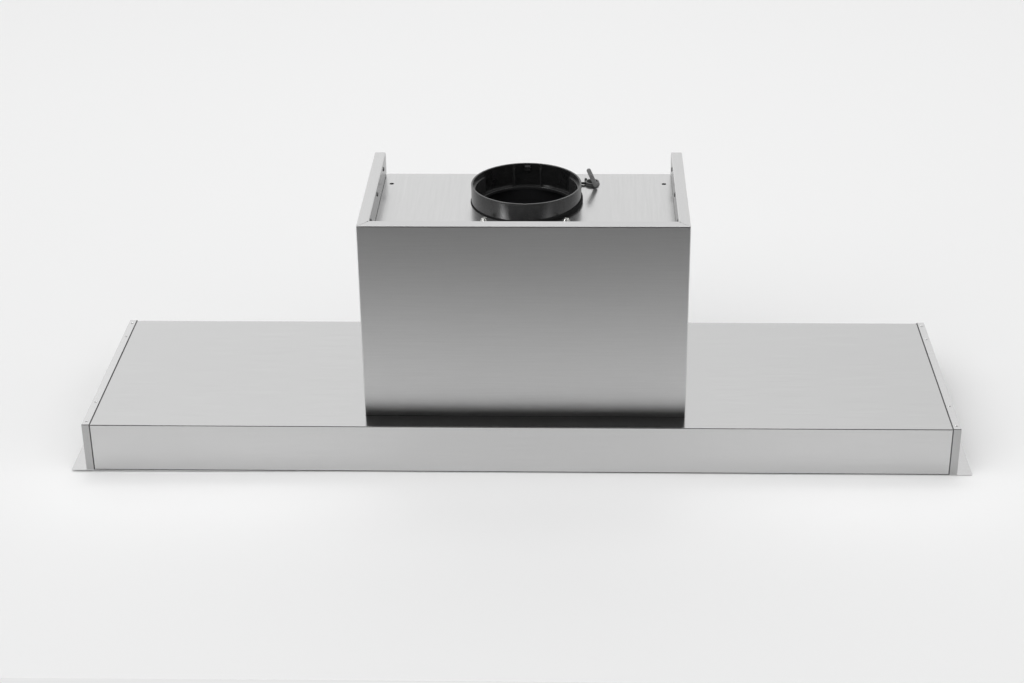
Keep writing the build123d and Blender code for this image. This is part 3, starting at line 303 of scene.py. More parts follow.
def brushed_steel(name, colour, roughness, spread=0.62, axis=None, relief_depth=0.00001):
    """Steel sheet with a belt-brushed grain: long fine streaks that vary its tone, its gloss and its relief.
    The grain runs along U of the piece's UV, or along an axis of the Object coordinates where one is given."""
    material, nodes, links, shader = new_material(name)
    place = nodes.new("ShaderNodeTexCoord").outputs["UV" if axis is None else "Object"]
    way = np.abs(np.array(axis or (1, 0, 0), float))

    def streaks(length, width, detail):
        mapping = nodes.new("ShaderNodeMapping")
        mapping.inputs["Scale"].default_value = way / length + (1 - way) / width
        links.new(place, mapping.inputs["Vector"])
        grain = nodes.new("ShaderNodeTexNoise")
        grain.inputs["Scale"].default_value = 1.0
        grain.inputs["Detail"].default_value = detail
        grain.inputs["Roughness"].default_value = 0.6
        links.new(mapping.outputs[0], grain.inputs["Vector"])
        return grain.outputs["Fac"]

    streak = 0.03
    coarse, fine, cloud = streaks(0.09, 0.0024, 4.0), streaks(0.030, 0.0005, 2.0), streaks(0.5, 0.18, 3.0)
    darker, lighter = [c * (1 - streak) for c in colour], [c * (1 + streak) for c in colour]
    tone = blended(nodes, links, ranged(nodes, links, coarse, 0.0, 1.0, 0.3, 0.7), darker, lighter)
    for marks, most, start, end in ((fine, 0.5, 0.35, 0.75), (cloud, 0.4, 0.4, 0.7)):
        tone = blended(nodes, links, ranged(nodes, links, marks, 0.0, most, start, end), tone, darker)
    links.new(tone, shader.inputs["Base Color"])
    links.new(ranged(nodes, links, fine, roughness - 0.02, roughness + 0.03, 0.3, 0.7), shader.inputs["Roughness"])
    shader.inputs["Metallic"].default_value = 1.0
    shader.inputs["Anisotropic"].default_value = spread
    shader.inputs["Anisotropic Rotation"].default_value = 0.25
    if axis is None:
        grain_way = nodes.new("ShaderNodeTangent")
        grain_way.direction_type = "UV_MAP"
    else:
        grain_way = nodes.new("ShaderNodeCombineXYZ")
        for socket, number in zip("XYZ", axis):
            grain_way.inputs[socket].default_value = number
    links.new(grain_way.outputs[0], shader.inputs["Tangent"])
    relief = nodes.new("ShaderNodeBump")
    relief.inputs["Strength"].default_value = 0.15
    relief.inputs["Distance"].default_value = relief_depth
    links.new(coarse, relief.inputs["Height"])
    links.new(relief.outputs[0], shader.inputs["Normal"])
    return material


canopy_steel = brushed_steel("canopy_brushed_steel", (0.60, 0.60, 0.60), 0.19, relief_depth=0.000006)
sheared_edge = brushed_steel("sheared_steel_edge", (0.26, 0.26, 0.26), 0.42, 0.1, axis=(0, 0, 1))
shell_low, shell_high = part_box("canopy_shell")
tower_low, tower_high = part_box("tower_cover")
shell_hem, hem_fold, shell_fold = 0.008, 0.0004, 0.0012
hole_margin, steel_gauge = 0.020, 0.001

front, back, foot, top = shell_low.y, shell_high.y, shell_low.z, shell_high.z
profile = rounded_path([(front + shell_hem, foot), (front, foot), (front, top), (back, top), (back, foot),
                        (back - shell_hem, foot)], (hem_fold, shell_fold, shell_fold, hem_fold), spacing=0.012)
hole_x = (tower_low.x + hole_margin, tower_high.x - hole_margin)
hole_y = (tower_low.y + hole_margin, tower_high.y - hole_margin)
along = np.unique(np.concatenate([np.linspace(shell_low.x, shell_high.x, 97), hole_x]))
on_top = profile[:, 1] > top - 1e-5
for edge in hole_y:
    nearest = np.where(on_top, np.abs(profile[:, 0] - edge), np.inf).argmin()
    profile[nearest, 0] = edge


def faded(place, low, high):
    """1 in the middle of a sheet, falling evenly to 0 over the last 30 mm before its two ends."""
    return np.clip((place - low) / 0.03, 0, 1) * np.clip((high - place) / 0.03, 0, 1)


def shell_ripple(x, y):
    """The sheet's slight waves, a tenth of a millimetre high: two crossed sines that fade out at the folds, sunk a
    little so that they stay under the folds' level."""
    waves = 0.00010 * (np.sin(9.1 * x + 1.3) + 0.6 * np.sin(23.0 * x - 31.0 * y)) - 0.00016
    return waves * faded(y, front, back)


grid = np.stack(np.broadcast_arrays(along[None, :], profile[:, :1], profile[:, 1:]), -1).copy()
grid[on_top, :, 2] += shell_ripple(grid[on_top, :, 0], grid[on_top, :, 1])
middle_x = (along[1:] + along[:-1]) / 2
middle_y = (profile[1:, 0] + profile[:-1, 0]) / 2
in_hole = ((middle_x > hole_x[0]) & (middle_x < hole_x[1]))[None, :] & (
    (middle_y > hole_y[0]) & (middle_y < hole_y[1]) & on_top[1:] & on_top[:-1])[:, None]
piece("shell_sheet", [patch(grid, keep=~in_hole)], canopy_steel, ["canopy_shell"],
      inside=(0, 0, 0.03), wall=steel_gauge)


# End caps: shallow folded trays of the same sheet that close the shell's ends. Each has a narrow strip that laps
# over the shell's front, top and back. The sheet's grain runs up the cap. Its front strip takes a darker copy of the
# cap's steel, painted shade that makes it darker than the shell.
cap_fold = 0.0009
cap_strip = 0.010
cap_steel = brushed_steel("end_cap_brushed_steel", (0.70, 0.70, 0.70), 0.22)
# A darker copy of the cap's steel for the front strips: painted shade.
cap_front_painted_shade = brushed_steel("end_cap_strip_painted_shade", (0.43, 0.43, 0.43), 0.24)


def lines(start, end, radius, step, round_start=True, round_end=True):
    """Places from start to end: close together near rounded ends, at tangents of equal angles, and evenly between."""
    near = radius * np.tan(np.linspace(0, math.pi / 4, 5))
    first = start + (radius - near[::-1] if round_start else np.zeros(1))
    last = end - (radius - near if round_end else np.zeros(1))
    a, b = first.max(), last.min()
    between = np.linspace(a, b, max(2, int(math.ceil((b - a) / step)) + 1))
    return np.unique(np.round(np.concatenate([first, between, last]), 9))


def rounded(points, low, high, radius):
    """Each point of a box's faces is moved to one radius from the box that is smaller by the radius all round."""
    core = np.clip(points, np.asarray(low) + radius, np.asarray(high) - radius)
    out = points - core
    length = np.linalg.norm(out, axis=-1, keepdims=True)
    return core + out * (radius / np.maximum(length, 1e-12))


def face_grid(fixed, at, first, second):
    """A flat grid across one axis (0 for X, 1 for Y, 2 for Z) at a place, over lines of the other two axes."""
    a, b = np.meshgrid(first, second)
    grid = np.empty((*a.shape, 3))
    others = [axis for axis in range(3) if axis != fixed]
    grid[..., fixed], grid[..., others[0]], grid[..., others[1]] = at, a, b
    return grid


def face_marks(made):
    """The centre and the material number of each of a piece's faces."""
    centres, kinds = np.empty(len(made.data.polygons) * 3), np.empty(len(made.data.polygons), np.int32)
    made.data.polygons.foreach_get("center", centres)
    made.data.polygons.foreach_get("material_index", kinds)
    return centres.reshape(-1, 3), kinds


caps = []
for side, hand in ((-1, "left"), (1, "right")):
    cap_low, cap_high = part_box(f"end_cap_{hand}")
    outer_x = cap_high.x if side > 0 else cap_low.x
    strip_edge = outer_x - side * cap_strip
    caps.append((side, strip_edge, cap_low, cap_high))
    low = np.array((min(outer_x, 0), cap_low.y, -0.1))
    high = np.array((max(outer_x, 0), cap_high.y, cap_high.z))
    strip_x = lines(min(outer_x, strip_edge), max(outer_x, strip_edge), cap_fold, 0.003, side < 0, side > 0)
    ys = lines(cap_low.y, cap_high.y, cap_fold, 0.02)
    zs = lines(cap_low.z, cap_high.z, cap_fold, 0.01, False, True)
    # The wall, the top strip and the strips at front and back, each with the axes of its unfolded sheet: the grain,
    # along U, runs up the wall and the strips, and across the top strip.
    sheets = ((face_grid(0, outer_x, ys, zs), [2, 1]), (face_grid(2, cap_high.z, strip_x, ys), [0, 1]),
              (face_grid(1, cap_low.y, strip_x, zs), [2, 0]), (face_grid(1, cap_high.y, strip_x, zs), [2, 0]))
    patches = [patch(rounded(grid, low, high, cap_fold), grid[..., axes]) for grid, axes in sheets]
    tray = piece(f"cap_sheet_{hand}", patches, cap_steel, [f"end_cap_{hand}"],
                 inside=(outer_x - side * 0.3, 0, 0), wall=steel_gauge)
    # The front strips take the darker copy of the steel: painted shade.
    tray.data.materials.append(cap_front_painted_shade)
    centres, kinds = face_marks(tray)
    on_front = (centres[:, 1] < cap_low.y + 0.0007) & (kinds == 0)
    tray.data.polygons.foreach_set("material_index", np.where(on_front, 2, kinds).astype(np.int32))


# Tower cover: front, sides, top flanges and hanging lips folded from one brushed sheet, open at the back.
# The top flanges meet in mitres at the front corners, and a lip hangs from each side flange.
tower_fold = 0.0015
flange_side, flange_front = 0.015, 0.017
lip_foot, lip_fold = 0.3125, 0.0015
mitre_gap, mitre_run = 0.0002, 0.003
tower_steel = brushed_steel("tower_brushed_steel", (0.66, 0.66, 0.66), 0.34, relief_depth=0.000001)
foot_z = tower_low.z + 0.0002
tower_middle = (tower_low.x + tower_high.x) / 2
low = np.array((tower_low.x, tower_low.y, -0.5))
high = np.array((tower_high.x, tower_high.y + 0.1, tower_high.z))
xs = lines(tower_low.x, tower_high.x, tower_fold, 0.012)
ys = lines(tower_low.y, tower_high.y, tower_fold, 0.012, True, False)
zs = lines(foot_z, tower_high.z, tower_fold, 0.012, False, True)


def front_ripple(points):
    """Long shallow waves of a twentieth of a millimetre in the front, as sines along and up it, which fade out at its
    folds and lie behind its flat."""
    x, z = points[..., 0], points[..., 2]
    depth = 0.00006 + 0.00005 * np.sin(17.0 * x + 0.7) * np.sin(21.0 * z + 0.4)
    depth = depth * faded(z, foot_z, tower_high.z) * faded(x, tower_low.x, tower_high.x)
    return points + np.array((0, 1, 0)) * depth[..., None]


def mitred(shared, depth, side_depth, end):
    """A flange's grid: its places along the fold and its depths, row by row inward, with the start drawn in along a
    mitre. The end is drawn in too where it is given as 1, and stays where it is given as 0."""
    t = lines(0, depth, tower_fold, 0.004, True, False) / depth
    opening = np.clip(t * depth / mitre_run, 0, 1) * mitre_gap
    first = shared[0] + (t * side_depth + opening)
    last = shared[-1] - end * (t * side_depth + opening)
    share = (shared - shared[0]) / (shared[-1] - shared[0])
    along = first[:, None] + (last - first)[:, None] * share[None, :]
    return along, np.broadcast_to(t[:, None] * depth, along.shape)


wall = face_grid(1, tower_low.y, xs, zs)
patches = [patch(front_ripple(rounded(wall, low, high, tower_fold)), wall[..., [0, 2]])]
for x in (tower_low.x, tower_high.x):
    wall = face_grid(0, x, ys, zs)
    patches.append(patch(rounded(wall, low, high, tower_fold), wall[..., [1, 2]]))
along, across = mitred(xs, flange_front, flange_side, 1)
flange = np.stack([along, tower_low.y + across, np.full_like(along, tower_high.z)], -1)
patches.append(patch(rounded(flange, low, high, tower_fold), flange[..., [0, 1]]))
for side, x in ((-1, tower_low.x), (1, tower_high.x)):
    along, across = mitred(ys, flange_side, flange_front, 0)
    bend = rounded_path([(0, tower_high.z), (flange_side, tower_high.z), (flange_side, lip_foot)], lip_fold,
                        spacing=0.006)
    down = bend[np.argmax(bend[:, 0] > flange_side - lip_fold - 1e-7):]
    flat = across[:, 0] < flange_side - lip_fold - 1e-7
    along = np.concatenate([along[flat], np.repeat(along[-1:], len(down), 0)])
    across = np.concatenate([across[flat, 0], down[:, 0]])
    height = np.concatenate([np.full(flat.sum(), tower_high.z), down[:, 1]])
    grid = np.stack(np.broadcast_arrays(x - side * across[:, None], along, height[:, None]), -1).copy()
    grid[:flat.sum()] = rounded(grid[:flat.sum()], low, high, tower_fold)
    unfolded = np.stack(np.broadcast_arrays(along, run_length(np.stack([across, height], -1))[:, None]), -1)
    patches.append(patch(grid, unfolded, inside=(x - side * flange_side / 2, 0, 0.30)))
tower = piece("tower_sheet", patches, tower_steel, ["tower_cover"], inside=(tower_middle, 0, 0.2),
              wall=steel_gauge)
# The hanging lips are the same sheet as the tower but take a darker copy of its steel with a lowered specular tint:
# painted shade on their faces under the flanges.
lip_painted_shade_finish = brushed_steel("tower_lip_painted_shade", (0.40, 0.40, 0.40), 0.24)
lip_painted_shade_finish.node_tree.nodes["Principled BSDF"].inputs["Specular Tint"].default_value = (0.75, 0.75, 0.75, 1)
tower.data.materials.append(lip_painted_shade_finish)
# The top flanges take a darker copy of the tower's steel: painted shade that sets their lit level.
tower.data.materials.append(brushed_steel("flange_steel_painted_shade", (0.61, 0.61, 0.61), 0.20, relief_depth=0.000002))
centres, kinds = face_marks(tower)
lip_from_middle = tower_high.x - tower_middle - flange_side
off_lip = abs(abs(centres[:, 0] - tower_middle) - lip_from_middle - steel_gauge / 2)
on_lip = (off_lip < 0.0008) & (centres[:, 2] < tower_high.z - 0.0012) & (kinds == 0)
on_flange = (centres[:, 2] > tower_high.z - 0.0004) & (kinds == 0)
kinds = np.where(on_lip, 2, np.where(on_flange, 3, kinds))
tower.data.polygons.foreach_set("material_index", kinds.astype(np.int32))


# Duct collar: a black plastic spigot moulded in one piece. Inside it has two raised pads and four ribs that end on
# a ledge, and two small sockets with paired holes for the pins of a non-return flap.
def textured(name, colour, roughness, grain=0.0006, relief=0.00002, mottle=0.05, metal=0.0, fleck=0.012,
             spangled=False):
    """A finish with fine relief, a tone that varies in soft patches and a gloss that varies with the relief.
    A spangled one has them in flecks with sharp edges, like zinc's crystals."""
    material, nodes, links, shader = new_material(name)
    place = nodes.new("ShaderNodeTexCoord").outputs["Object"]

    def noise(scale, detail):
        one = nodes.new("ShaderNodeTexNoise")
        one.inputs["Scale"].default_value = scale
        one.inputs["Detail"].default_value = detail
        links.new(place, one.inputs["Vector"])
        return one.outputs["Fac"]

    fine, patches = noise(1 / grain, 3.0), noise(1 / fleck, 4.0)
    if spangled:
        cells = nodes.new("ShaderNodeTexVoronoi")
        cells.inputs["Scale"].default_value = 1 / fleck
        links.new(place, cells.inputs["Vector"])
        apart = nodes.new("ShaderNodeSeparateColor")
        links.new(cells.outputs["Color"], apart.inputs[0])
        patches = apart.outputs[0]
    tone = blended(nodes, links, ranged(nodes, links, patches, 0.0, 1.0, 0.2, 0.8),
                   [c * (1 - mottle) for c in colour], [min(1, c * (1 + mottle)) for c in colour])
    links.new(tone, shader.inputs["Base Color"])
    gloss = ranged(nodes, links, fine, -0.05, 0.05, 0.3, 0.7)
    both = nodes.new("ShaderNodeMath")
    links.new(gloss, both.inputs[0])
    links.new(ranged(nodes, links, patches, roughness - 0.04, roughness + 0.04), both.inputs[1])
    links.new(both.outputs[0], shader.inputs["Roughness"])
    shader.inputs["Metallic"].default_value = metal
    bump = nodes.new("ShaderNodeBump")
    bump.inputs["Strength"].default_value = 0.4
    bump.inputs["Distance"].default_value = relief
    links.new(fine, bump.inputs["Height"])
    links.new(bump.outputs[0], shader.inputs["Normal"])
    return material


def turned(profile, centre=(0, 0), degrees=None):
    """Rows of a profile of (radius, height) pairs, turned about an upright axis through the centre."""
    at = np.radians(np.linspace(0, 360, 73) if degrees is None else degrees)
    profile = np.asarray(profile, float)
    radius, height = profile[:, :1], profile[:, 1:]
    return np.stack(np.broadcast_arrays(centre[0] + radius * np.cos(at), centre[1] + radius * np.sin(at), height), -1)


collar_moulding = textured("collar_moulding", (0.026, 0.026, 0.0265), 0.23, mottle=0.15)
collar_moulding.node_tree.nodes["Principled BSDF"].inputs["Specular IOR Level"].default_value = 0.75
collar_low, collar_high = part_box("duct_collar")
collar_at = ((collar_low.x + collar_high.x) / 2, (collar_low.y + collar_high.y) / 2)
plate_drop, ledge_drop, shoulder_rise = 0.032, 0.032, 0.0010
collar_wall, collar_bore, collar_neck, ledge = 0.0742, 0.0717, 0.0732, 0.066
flange_radius = (collar_high.x - collar_low.x) / 2
rim, collar_foot, plate_level = collar_high.z, collar_low.z, tower_high.z - plate_drop
ledge_level, shoulder = rim - ledge_drop, plate_level + shoulder_rise
flange_top, flange_foot = plate_level - 0.001, plate_level - 0.004
# How far the pads, ribs and sockets stand in from the bore, how far below the rim they start, and their places and
# half widths in degrees, from the X axis for the pads and from the Y axis for the others. The pins' holes are sunk
# into the sockets.
pad_depth, pad_drop, pad_reach = 0.0026, 0.008, 35
rib_drop, rib_at, rib_reach = 0.0068, 15, 0.9
socket_depth, socket_drop, socket_end, socket_reach = 0.004, 0.0026, 0.0096, 3.2
pin_depth, pin_drop, pin_at, pin_radius = 0.003, 0.0069, 1.6, 0.0009
gate_depth = 0.0007
screw_x, screw_y, boss_bore, boss_radius = 0.05406, 0.06701, 0.0021, 0.007

corners = [(collar_neck, plate_level - 0.002), (collar_neck, shoulder), (collar_wall, shoulder), (collar_wall, rim),
           (collar_bore, rim), (collar_bore, ledge_level), (ledge, ledge_level), (ledge, collar_foot),
           (collar_neck, collar_foot), (collar_neck, flange_foot), (flange_radius, flange_foot),
           (flange_radius, flange_top), (collar_neck, flange_top), (collar_neck, plate_level - 0.002)]
profile = rounded_path(corners, [0.0001, 0.0001, 0.0005, 0.0005, 0.0004, 0.0006, *[0.0005] * 5, 0.0002])
start = np.argmax((abs(profile[:, 0] - collar_bore) < 1e-7) & (profile[:, 1] < rim - 0.0007)) + 1
levels = np.concatenate([np.linspace(rim - 0.0010, rim - 0.0024, 4), np.arange(rim - 0.0026, rim - 0.0102, -0.0003),
                         np.linspace(rim - 0.0105, ledge_level + 0.0006, 7)])
profile = np.concatenate([profile[:start], np.stack([np.full_like(levels, collar_bore), levels], -1), profile[start:]])
# Columns stand every 2.5 degrees, and close together at the pads' and ribs' edges, at the sockets and at the gate.
edges = [(at + way * pad_reach) % 360 for at in (0, 180) for way in (-1, 1)]
edges += [at + way * (rib_at + half) for at in (90, 270) for way in (-1, 1) for half in (-rib_reach, rib_reach)]
degrees = np.concatenate([np.arange(0, 360.1, 2.5), *[np.linspace(-0.5, 0.5, 9) + edge for edge in edges],
                          *[np.arange(at - 3.8, at + 3.81, 0.2) for at in (90, 270)], np.arange(266, 274, 0.5)])
degrees = np.unique(np.round(degrees, 3))
grid = turned(profile, collar_at, degrees)


def step_up(value, edge, width):
    """1 below an edge and 0 above it, changing over a short width as 3 t^2 - 2 t^3."""
    share = np.clip((edge - value) / width + 0.5, 0, 1)
    return share * share * (3 - 2 * share)


height = grid[..., 2]
radius = np.hypot(grid[..., 0] - collar_at[0], grid[..., 1] - collar_at[1])
from_x = abs((degrees + 90) % 180 - 90)[None, :]
from_y = abs(from_x - 90)
pads = pad_depth * step_up(from_x, pad_reach, 0.9) * step_up(height, rim - pad_drop, 0.0005)
ribs = pad_depth * step_up(abs(from_y - rib_at), rib_reach, 0.9) * step_up(height, rim - rib_drop, 0.0005)
sockets = socket_depth * step_up(from_y, socket_reach, 0.4) * step_up(height, rim - socket_drop, 0.0004)
sockets = sockets * (1 - step_up(height, rim - socket_end, 0.0004))
pins = np.hypot((from_y - pin_at) * math.radians(1) * collar_bore, height - (rim - pin_drop))
inward = np.maximum(np.maximum(pads, ribs), sockets) - pin_depth * step_up(pins, pin_radius, 0.0003)
on_bore = (abs(radius - collar_bore) < 1e-6) & (height > ledge_level + 0.0003)
inward = np.where(on_bore, inward, 0)
for axis in (0, 1):
    grid[..., axis] -= (grid[..., axis] - collar_at[axis]) / radius * inward
# The gate's mark in the middle of the front of the rim: a shallow torn notch.
gate = np.exp(-((degrees - 270.6) / 0.9) ** 2) + 0.6 * np.exp(-((degrees - 268.6) / 0.5) ** 2)
grid[..., 2] -= gate_depth * gate * np.clip((height - rim + 0.0008) / 0.0008, 0, 1)
patches = [patch(grid)]
collar_screws = [(collar_at[0] + sx * screw_x, collar_at[1] + sy * screw_y) for sx in (-1, 1) for sy in (-1, 1)]
boss = [(boss_bore, plate_level - 0.003), (boss_bore, collar_foot), (boss_radius, collar_foot),
        (boss_radius, plate_level - 0.003)]
patches += [patch(turned(boss, at, np.linspace(0, 360, 33))) for at in collar_screws]
piece("collar_spigot", patches, collar_moulding, ["duct_collar"], inside=(*collar_at, plate_level))


# Seal: a soft rubber ring round the collar's foot, cut once and butted. It is squeezed flat at the left and stands up
# at the right, where it wasn't pressed home.
rubber = textured("black_rubber", (0.008, 0.008, 0.008), 0.72, mottle=0.15, grain=0.0009, relief=0.00004)
rubber.node_tree.nodes["Principled BSDF"].inputs["Specular IOR Level"].default_value = 0.2
around = np.linspace(21.2, 379.0, 140)
ends = np.concatenate([around[:1], around, around[-1:]])
rise = ((1 + np.cos(np.radians(ends - 15))) / 2) ** 2
ends = np.radians(ends)
seal_inner, seal_outer = collar_wall + 0.0001, collar_wall + 0.0011 + 0.0010 * rise
seal_top = 0.0012 + 0.0058 * rise
bead = rounded_path([(0, 0), (0, 1), (1, 1), (1, 0), (0, 0)], (0.2, 0.45, 0.1))
radius = seal_inner + bead[:, :1] * (seal_outer - seal_inner)
height = plate_level + 0.0001 + bead[:, 1:] * seal_top
ring = np.stack([collar_at[0] + radius * np.cos(ends), collar_at[1] + radius * np.sin(ends), height], -1)
ring[:, 0], ring[:, -1] = ring[:, 0].mean(0), ring[:, -1].mean(0)
piece("seal_ring", [patch(ring)], rubber, ["collar_seal"], inside=(*collar_at, plate_level - 1))


# The collar's screws: four zinc-plated pan heads with cross recesses, each on a flat washer. They pass through the
# plate into the bosses of the collar's flange.
def aimed(points, direction, at, turn=(1, 0, 0)):
    """Points made about the upright axis, carried so that +Z is the direction and the origin is the place."""
    w = np.asarray(direction, float) / np.linalg.norm(direction)
    u = np.asarray(turn, float) - np.dot(turn, w) * w
    u = u / np.linalg.norm(u)
    return points @ np.stack([u, np.cross(w, u), w]) + np.asarray(at)


def cross_head(radius, height, depth=0.6, sunk=False):
    """A screw's head from above. Its height over its foot is h times the root of 1 - (r/R)^4, or h for a sunk head,
    less the recess, where |x| is under the arms' half width and |y| under their reach, or the other way round."""
    reach, width = 0.55, 0.16
    r = np.concatenate([np.linspace(0, 0.72, 26), 1 - 0.28 * (1 - np.linspace(0, 1, 9)[1:]) ** 2]) * radius
    t = np.linspace(0, 2 * math.pi, 73)
    x, y = r[:, None] * np.cos(t), r[:, None] * np.sin(t)
    low, high = np.minimum(abs(x), abs(y)), np.maximum(abs(x), abs(y))
    soft = 0.04 * radius
    cut = np.clip((width * radius - low) / soft + 0.5, 0, 1) * np.clip((reach * radius - high) / (3 * soft) + 0.5, 0, 1)
    top = np.full_like(x, height) if sunk else height * np.sqrt(np.clip(1 - (r[:, None] / radius) ** 4, 0, 1) + 0 * x)
    return np.stack([x, y, top - depth * height * cut], -1)


def heads(name, places, finish, slot, stands_for, radius, height, degrees, shank, **recess):
    """Screw heads at places, each a point with the way it faces, turned by 37 degrees from one to the next. Each has
    its plain shank below."""
    patches = []
    for i, (at, way) in enumerate(places):
        turn = math.radians(degrees + 37.0 * i)
        across = (math.cos(turn), math.sin(turn), 0) if abs(way[2]) > 0.5 else (0, math.cos(turn), math.sin(turn))
        core = np.asarray(at) - 0.0009 * np.asarray(way)
        for grid in (cross_head(radius, height, **recess), turned(shank)):
            patches.append(patch(aimed(grid, way, at, across), inside=core))
    return piece(name, patches, finish, stands_for)


zinc = textured("zinc_plated", (0.70, 0.70, 0.68), 0.24, mottle=0.06, metal=1.0, grain=0.0004)
washer_bore, washer_radius, washer_top = 0.00205, 0.0052, plate_level + 0.0008
washer = rounded_path([(washer_bore, plate_level), (washer_bore, washer_top), (washer_radius, washer_top),
                       (washer_radius, plate_level), (washer_bore, plate_level)], 0.00025, 3)
piece("washers", [patch(turned(washer, at, np.linspace(0, 360, 49))) for at in collar_screws], zinc,
      ["collar_washers"], inside=(*collar_at, plate_level - 1))
shank = [(0.004, 0), (0.002, 0), (0.002, -0.0117), (0.0, -0.0119)]
heads("collar_pan_screws", [((*at, washer_top), (0, 0, 1)) for at in collar_screws], zinc, "screw_steel",
      ["collar_screws"], 0.004, 0.0026, 20, shank)


# Cable gland: a dark plastic bush snapped into the plate, open for a lead that isn't fitted. It has a knob, a stub of
# strap and a loose wedge that stands up beside the bore and leans to the left.
grey_moulding = textured("grey_moulding", (0.10, 0.10, 0.10), 0.30, mottle=0.10)
black_moulding = textured("black_moulding", (0.012, 0.012, 0.013), 0.36, mottle=0.12)
wedge_moulding = textured("wedge_moulding", (0.30, 0.30, 0.30), 0.38, mottle=0.08)
gland_at = (0.09696, 0.09600)
barrel = rounded_path([(0.0075, plate_level - 0.005), (0.0086, plate_level - 0.005), (0.0086, plate_level),
                       (0.0105, plate_level), (0.0105, plate_level + 0.0012), (0.0096, plate_level + 0.0012),
                       (0.0096, plate_level + 0.0042), (0.0075, plate_level + 0.0042), (0.0075, plate_level - 0.005)],
                      (0.0003, 0.0002, 0.0002, 0.0006, 0.0003, 0.0006, 0.0006), 4)
knob_turn, knob_reach = math.radians(144), 0.0108
knob_at = (gland_at[0] + knob_reach * math.cos(knob_turn), gland_at[1] + knob_reach * math.sin(knob_turn))
knob = rounded_path([(0.0018, plate_level), (0.0018, plate_level + 0.0062), (0, plate_level + 0.0062)], 0.0012, 4)
strap = rounded_path([(0.0017, 0), (0.0017, 0.0092), (0, 0.0092)], 0.0016, 4)
strap_foot = (gland_at[0] - 0.0075, gland_at[1] - 0.0027, plate_level + 0.0022)
piece("gland_bush", [patch(turned(barrel, gland_at, np.linspace(0, 360, 97)), inside=(*gland_at, -1)),
                     patch(turned(knob, knob_at, np.linspace(0, 360, 25)), inside=(*knob_at, plate_level))],
      grey_moulding, ["cable_gland"])
stub = aimed(turned(strap, degrees=np.linspace(0, 360, 25)), (-1, 0, 0), strap_foot, (0, 0, 1))
piece("gland_strap", [patch(stub, inside=strap_foot)], black_moulding)


def round_rectangle(x, y, radius, steps=5):
    """The outline of a rectangle with round corners, anticlockwise."""
    t = np.linspace(0, math.pi / 2, steps)
    corners = [((x[1], y[1]), 0), ((x[0], y[1]), 1), ((x[0], y[0]), 2), ((x[1], y[0]), 3)]
    arcs = []
    for (cx, cy), k in corners:
        inward = np.array((-1 if k in (0, 3) else 1, -1 if k in (0, 1) else 1)) * radius
        a = t + k * math.pi / 2
        arcs.append(np.array((cx, cy)) + inward + radius * np.stack([np.cos(a), np.sin(a)], -1))
    return np.concatenate(arcs)


def slab(outline, low, high, edge):
    """A plate from a closed outline: its edge rounded at both faces by arcs, the faces drawn in to the middle."""
    outline = np.asarray(outline, float)
    along = np.roll(outline, -1, 0) - np.roll(outline, 1, 0)
    out = np.stack([along[:, 1], -along[:, 0]], -1) / np.linalg.norm(along, axis=1)[:, None]
    area = np.sum(outline[:, 0] * np.roll(outline[:, 1], -1) - outline[:, 1] * np.roll(outline[:, 0], -1))
    out = out * np.sign(area)
    t = np.linspace(0, math.pi / 2, 4)
    draw = np.concatenate([edge * (1 - np.sin(t)), edge * (1 - np.cos(t))])
    height = np.concatenate([low + edge * (1 - np.cos(t)), high - edge * (1 - np.sin(t))])
    rows = [outline - out * d for d in draw]
    middle = outline.mean(0)
    spread = [middle + (rows[0] - middle) * k for k in (0.0, 0.5)]
    cap = [middle + (rows[-1] - middle) * k for k in (0.5, 0.0)]
    rows, height = np.stack([*spread, *rows, *cap]), np.concatenate([[low, low], height, [high, high]])
    grid = np.concatenate([rows, np.broadcast_to(height[:, None, None], (*rows.shape[:2], 1))], -1)
    return np.concatenate([grid, grid[:, :1]], 1)


lean, tooth_pitch = math.radians(23.5), 0.0022
wedge_up = np.array((-math.sin(lean), 0, math.cos(lean)))
wedge_foot = np.array((gland_at[0] + 0.0054, gland_at[1] - 0.012, plate_level + 0.0016))
tongue = round_rectangle((-0.0030, 0.0030), (0.0, 0.0285), 0.0028, 7)
wedge_across = -np.cross(wedge_up, (0, -1, 0))


def on_wedge(points):
    """Plate points (across, up, out) carried onto the leaning wedge, whose outer face looks to the front."""
    return points @ np.stack([wedge_across, wedge_up, (0, -1, 0)]) + wedge_foot


wedge = [patch(on_wedge(slab(tongue, 0.0, 0.0024, 0.0006)), inside=on_wedge(np.array((0, 0.012, 0.0012))))]
for foot in 0.0030 + tooth_pitch * np.arange(8):
    tooth = slab(round_rectangle((-0.0024, 0.0024), (foot, foot + 0.0010), 0.0004), 0.0020, 0.0030, 0.0003)
    wedge.append(patch(on_wedge(tooth), inside=on_wedge(np.array((0, foot + 0.0005, 0.0025)))))
piece("gland_tongue", wedge, wedge_moulding, ["gland_wedge"])


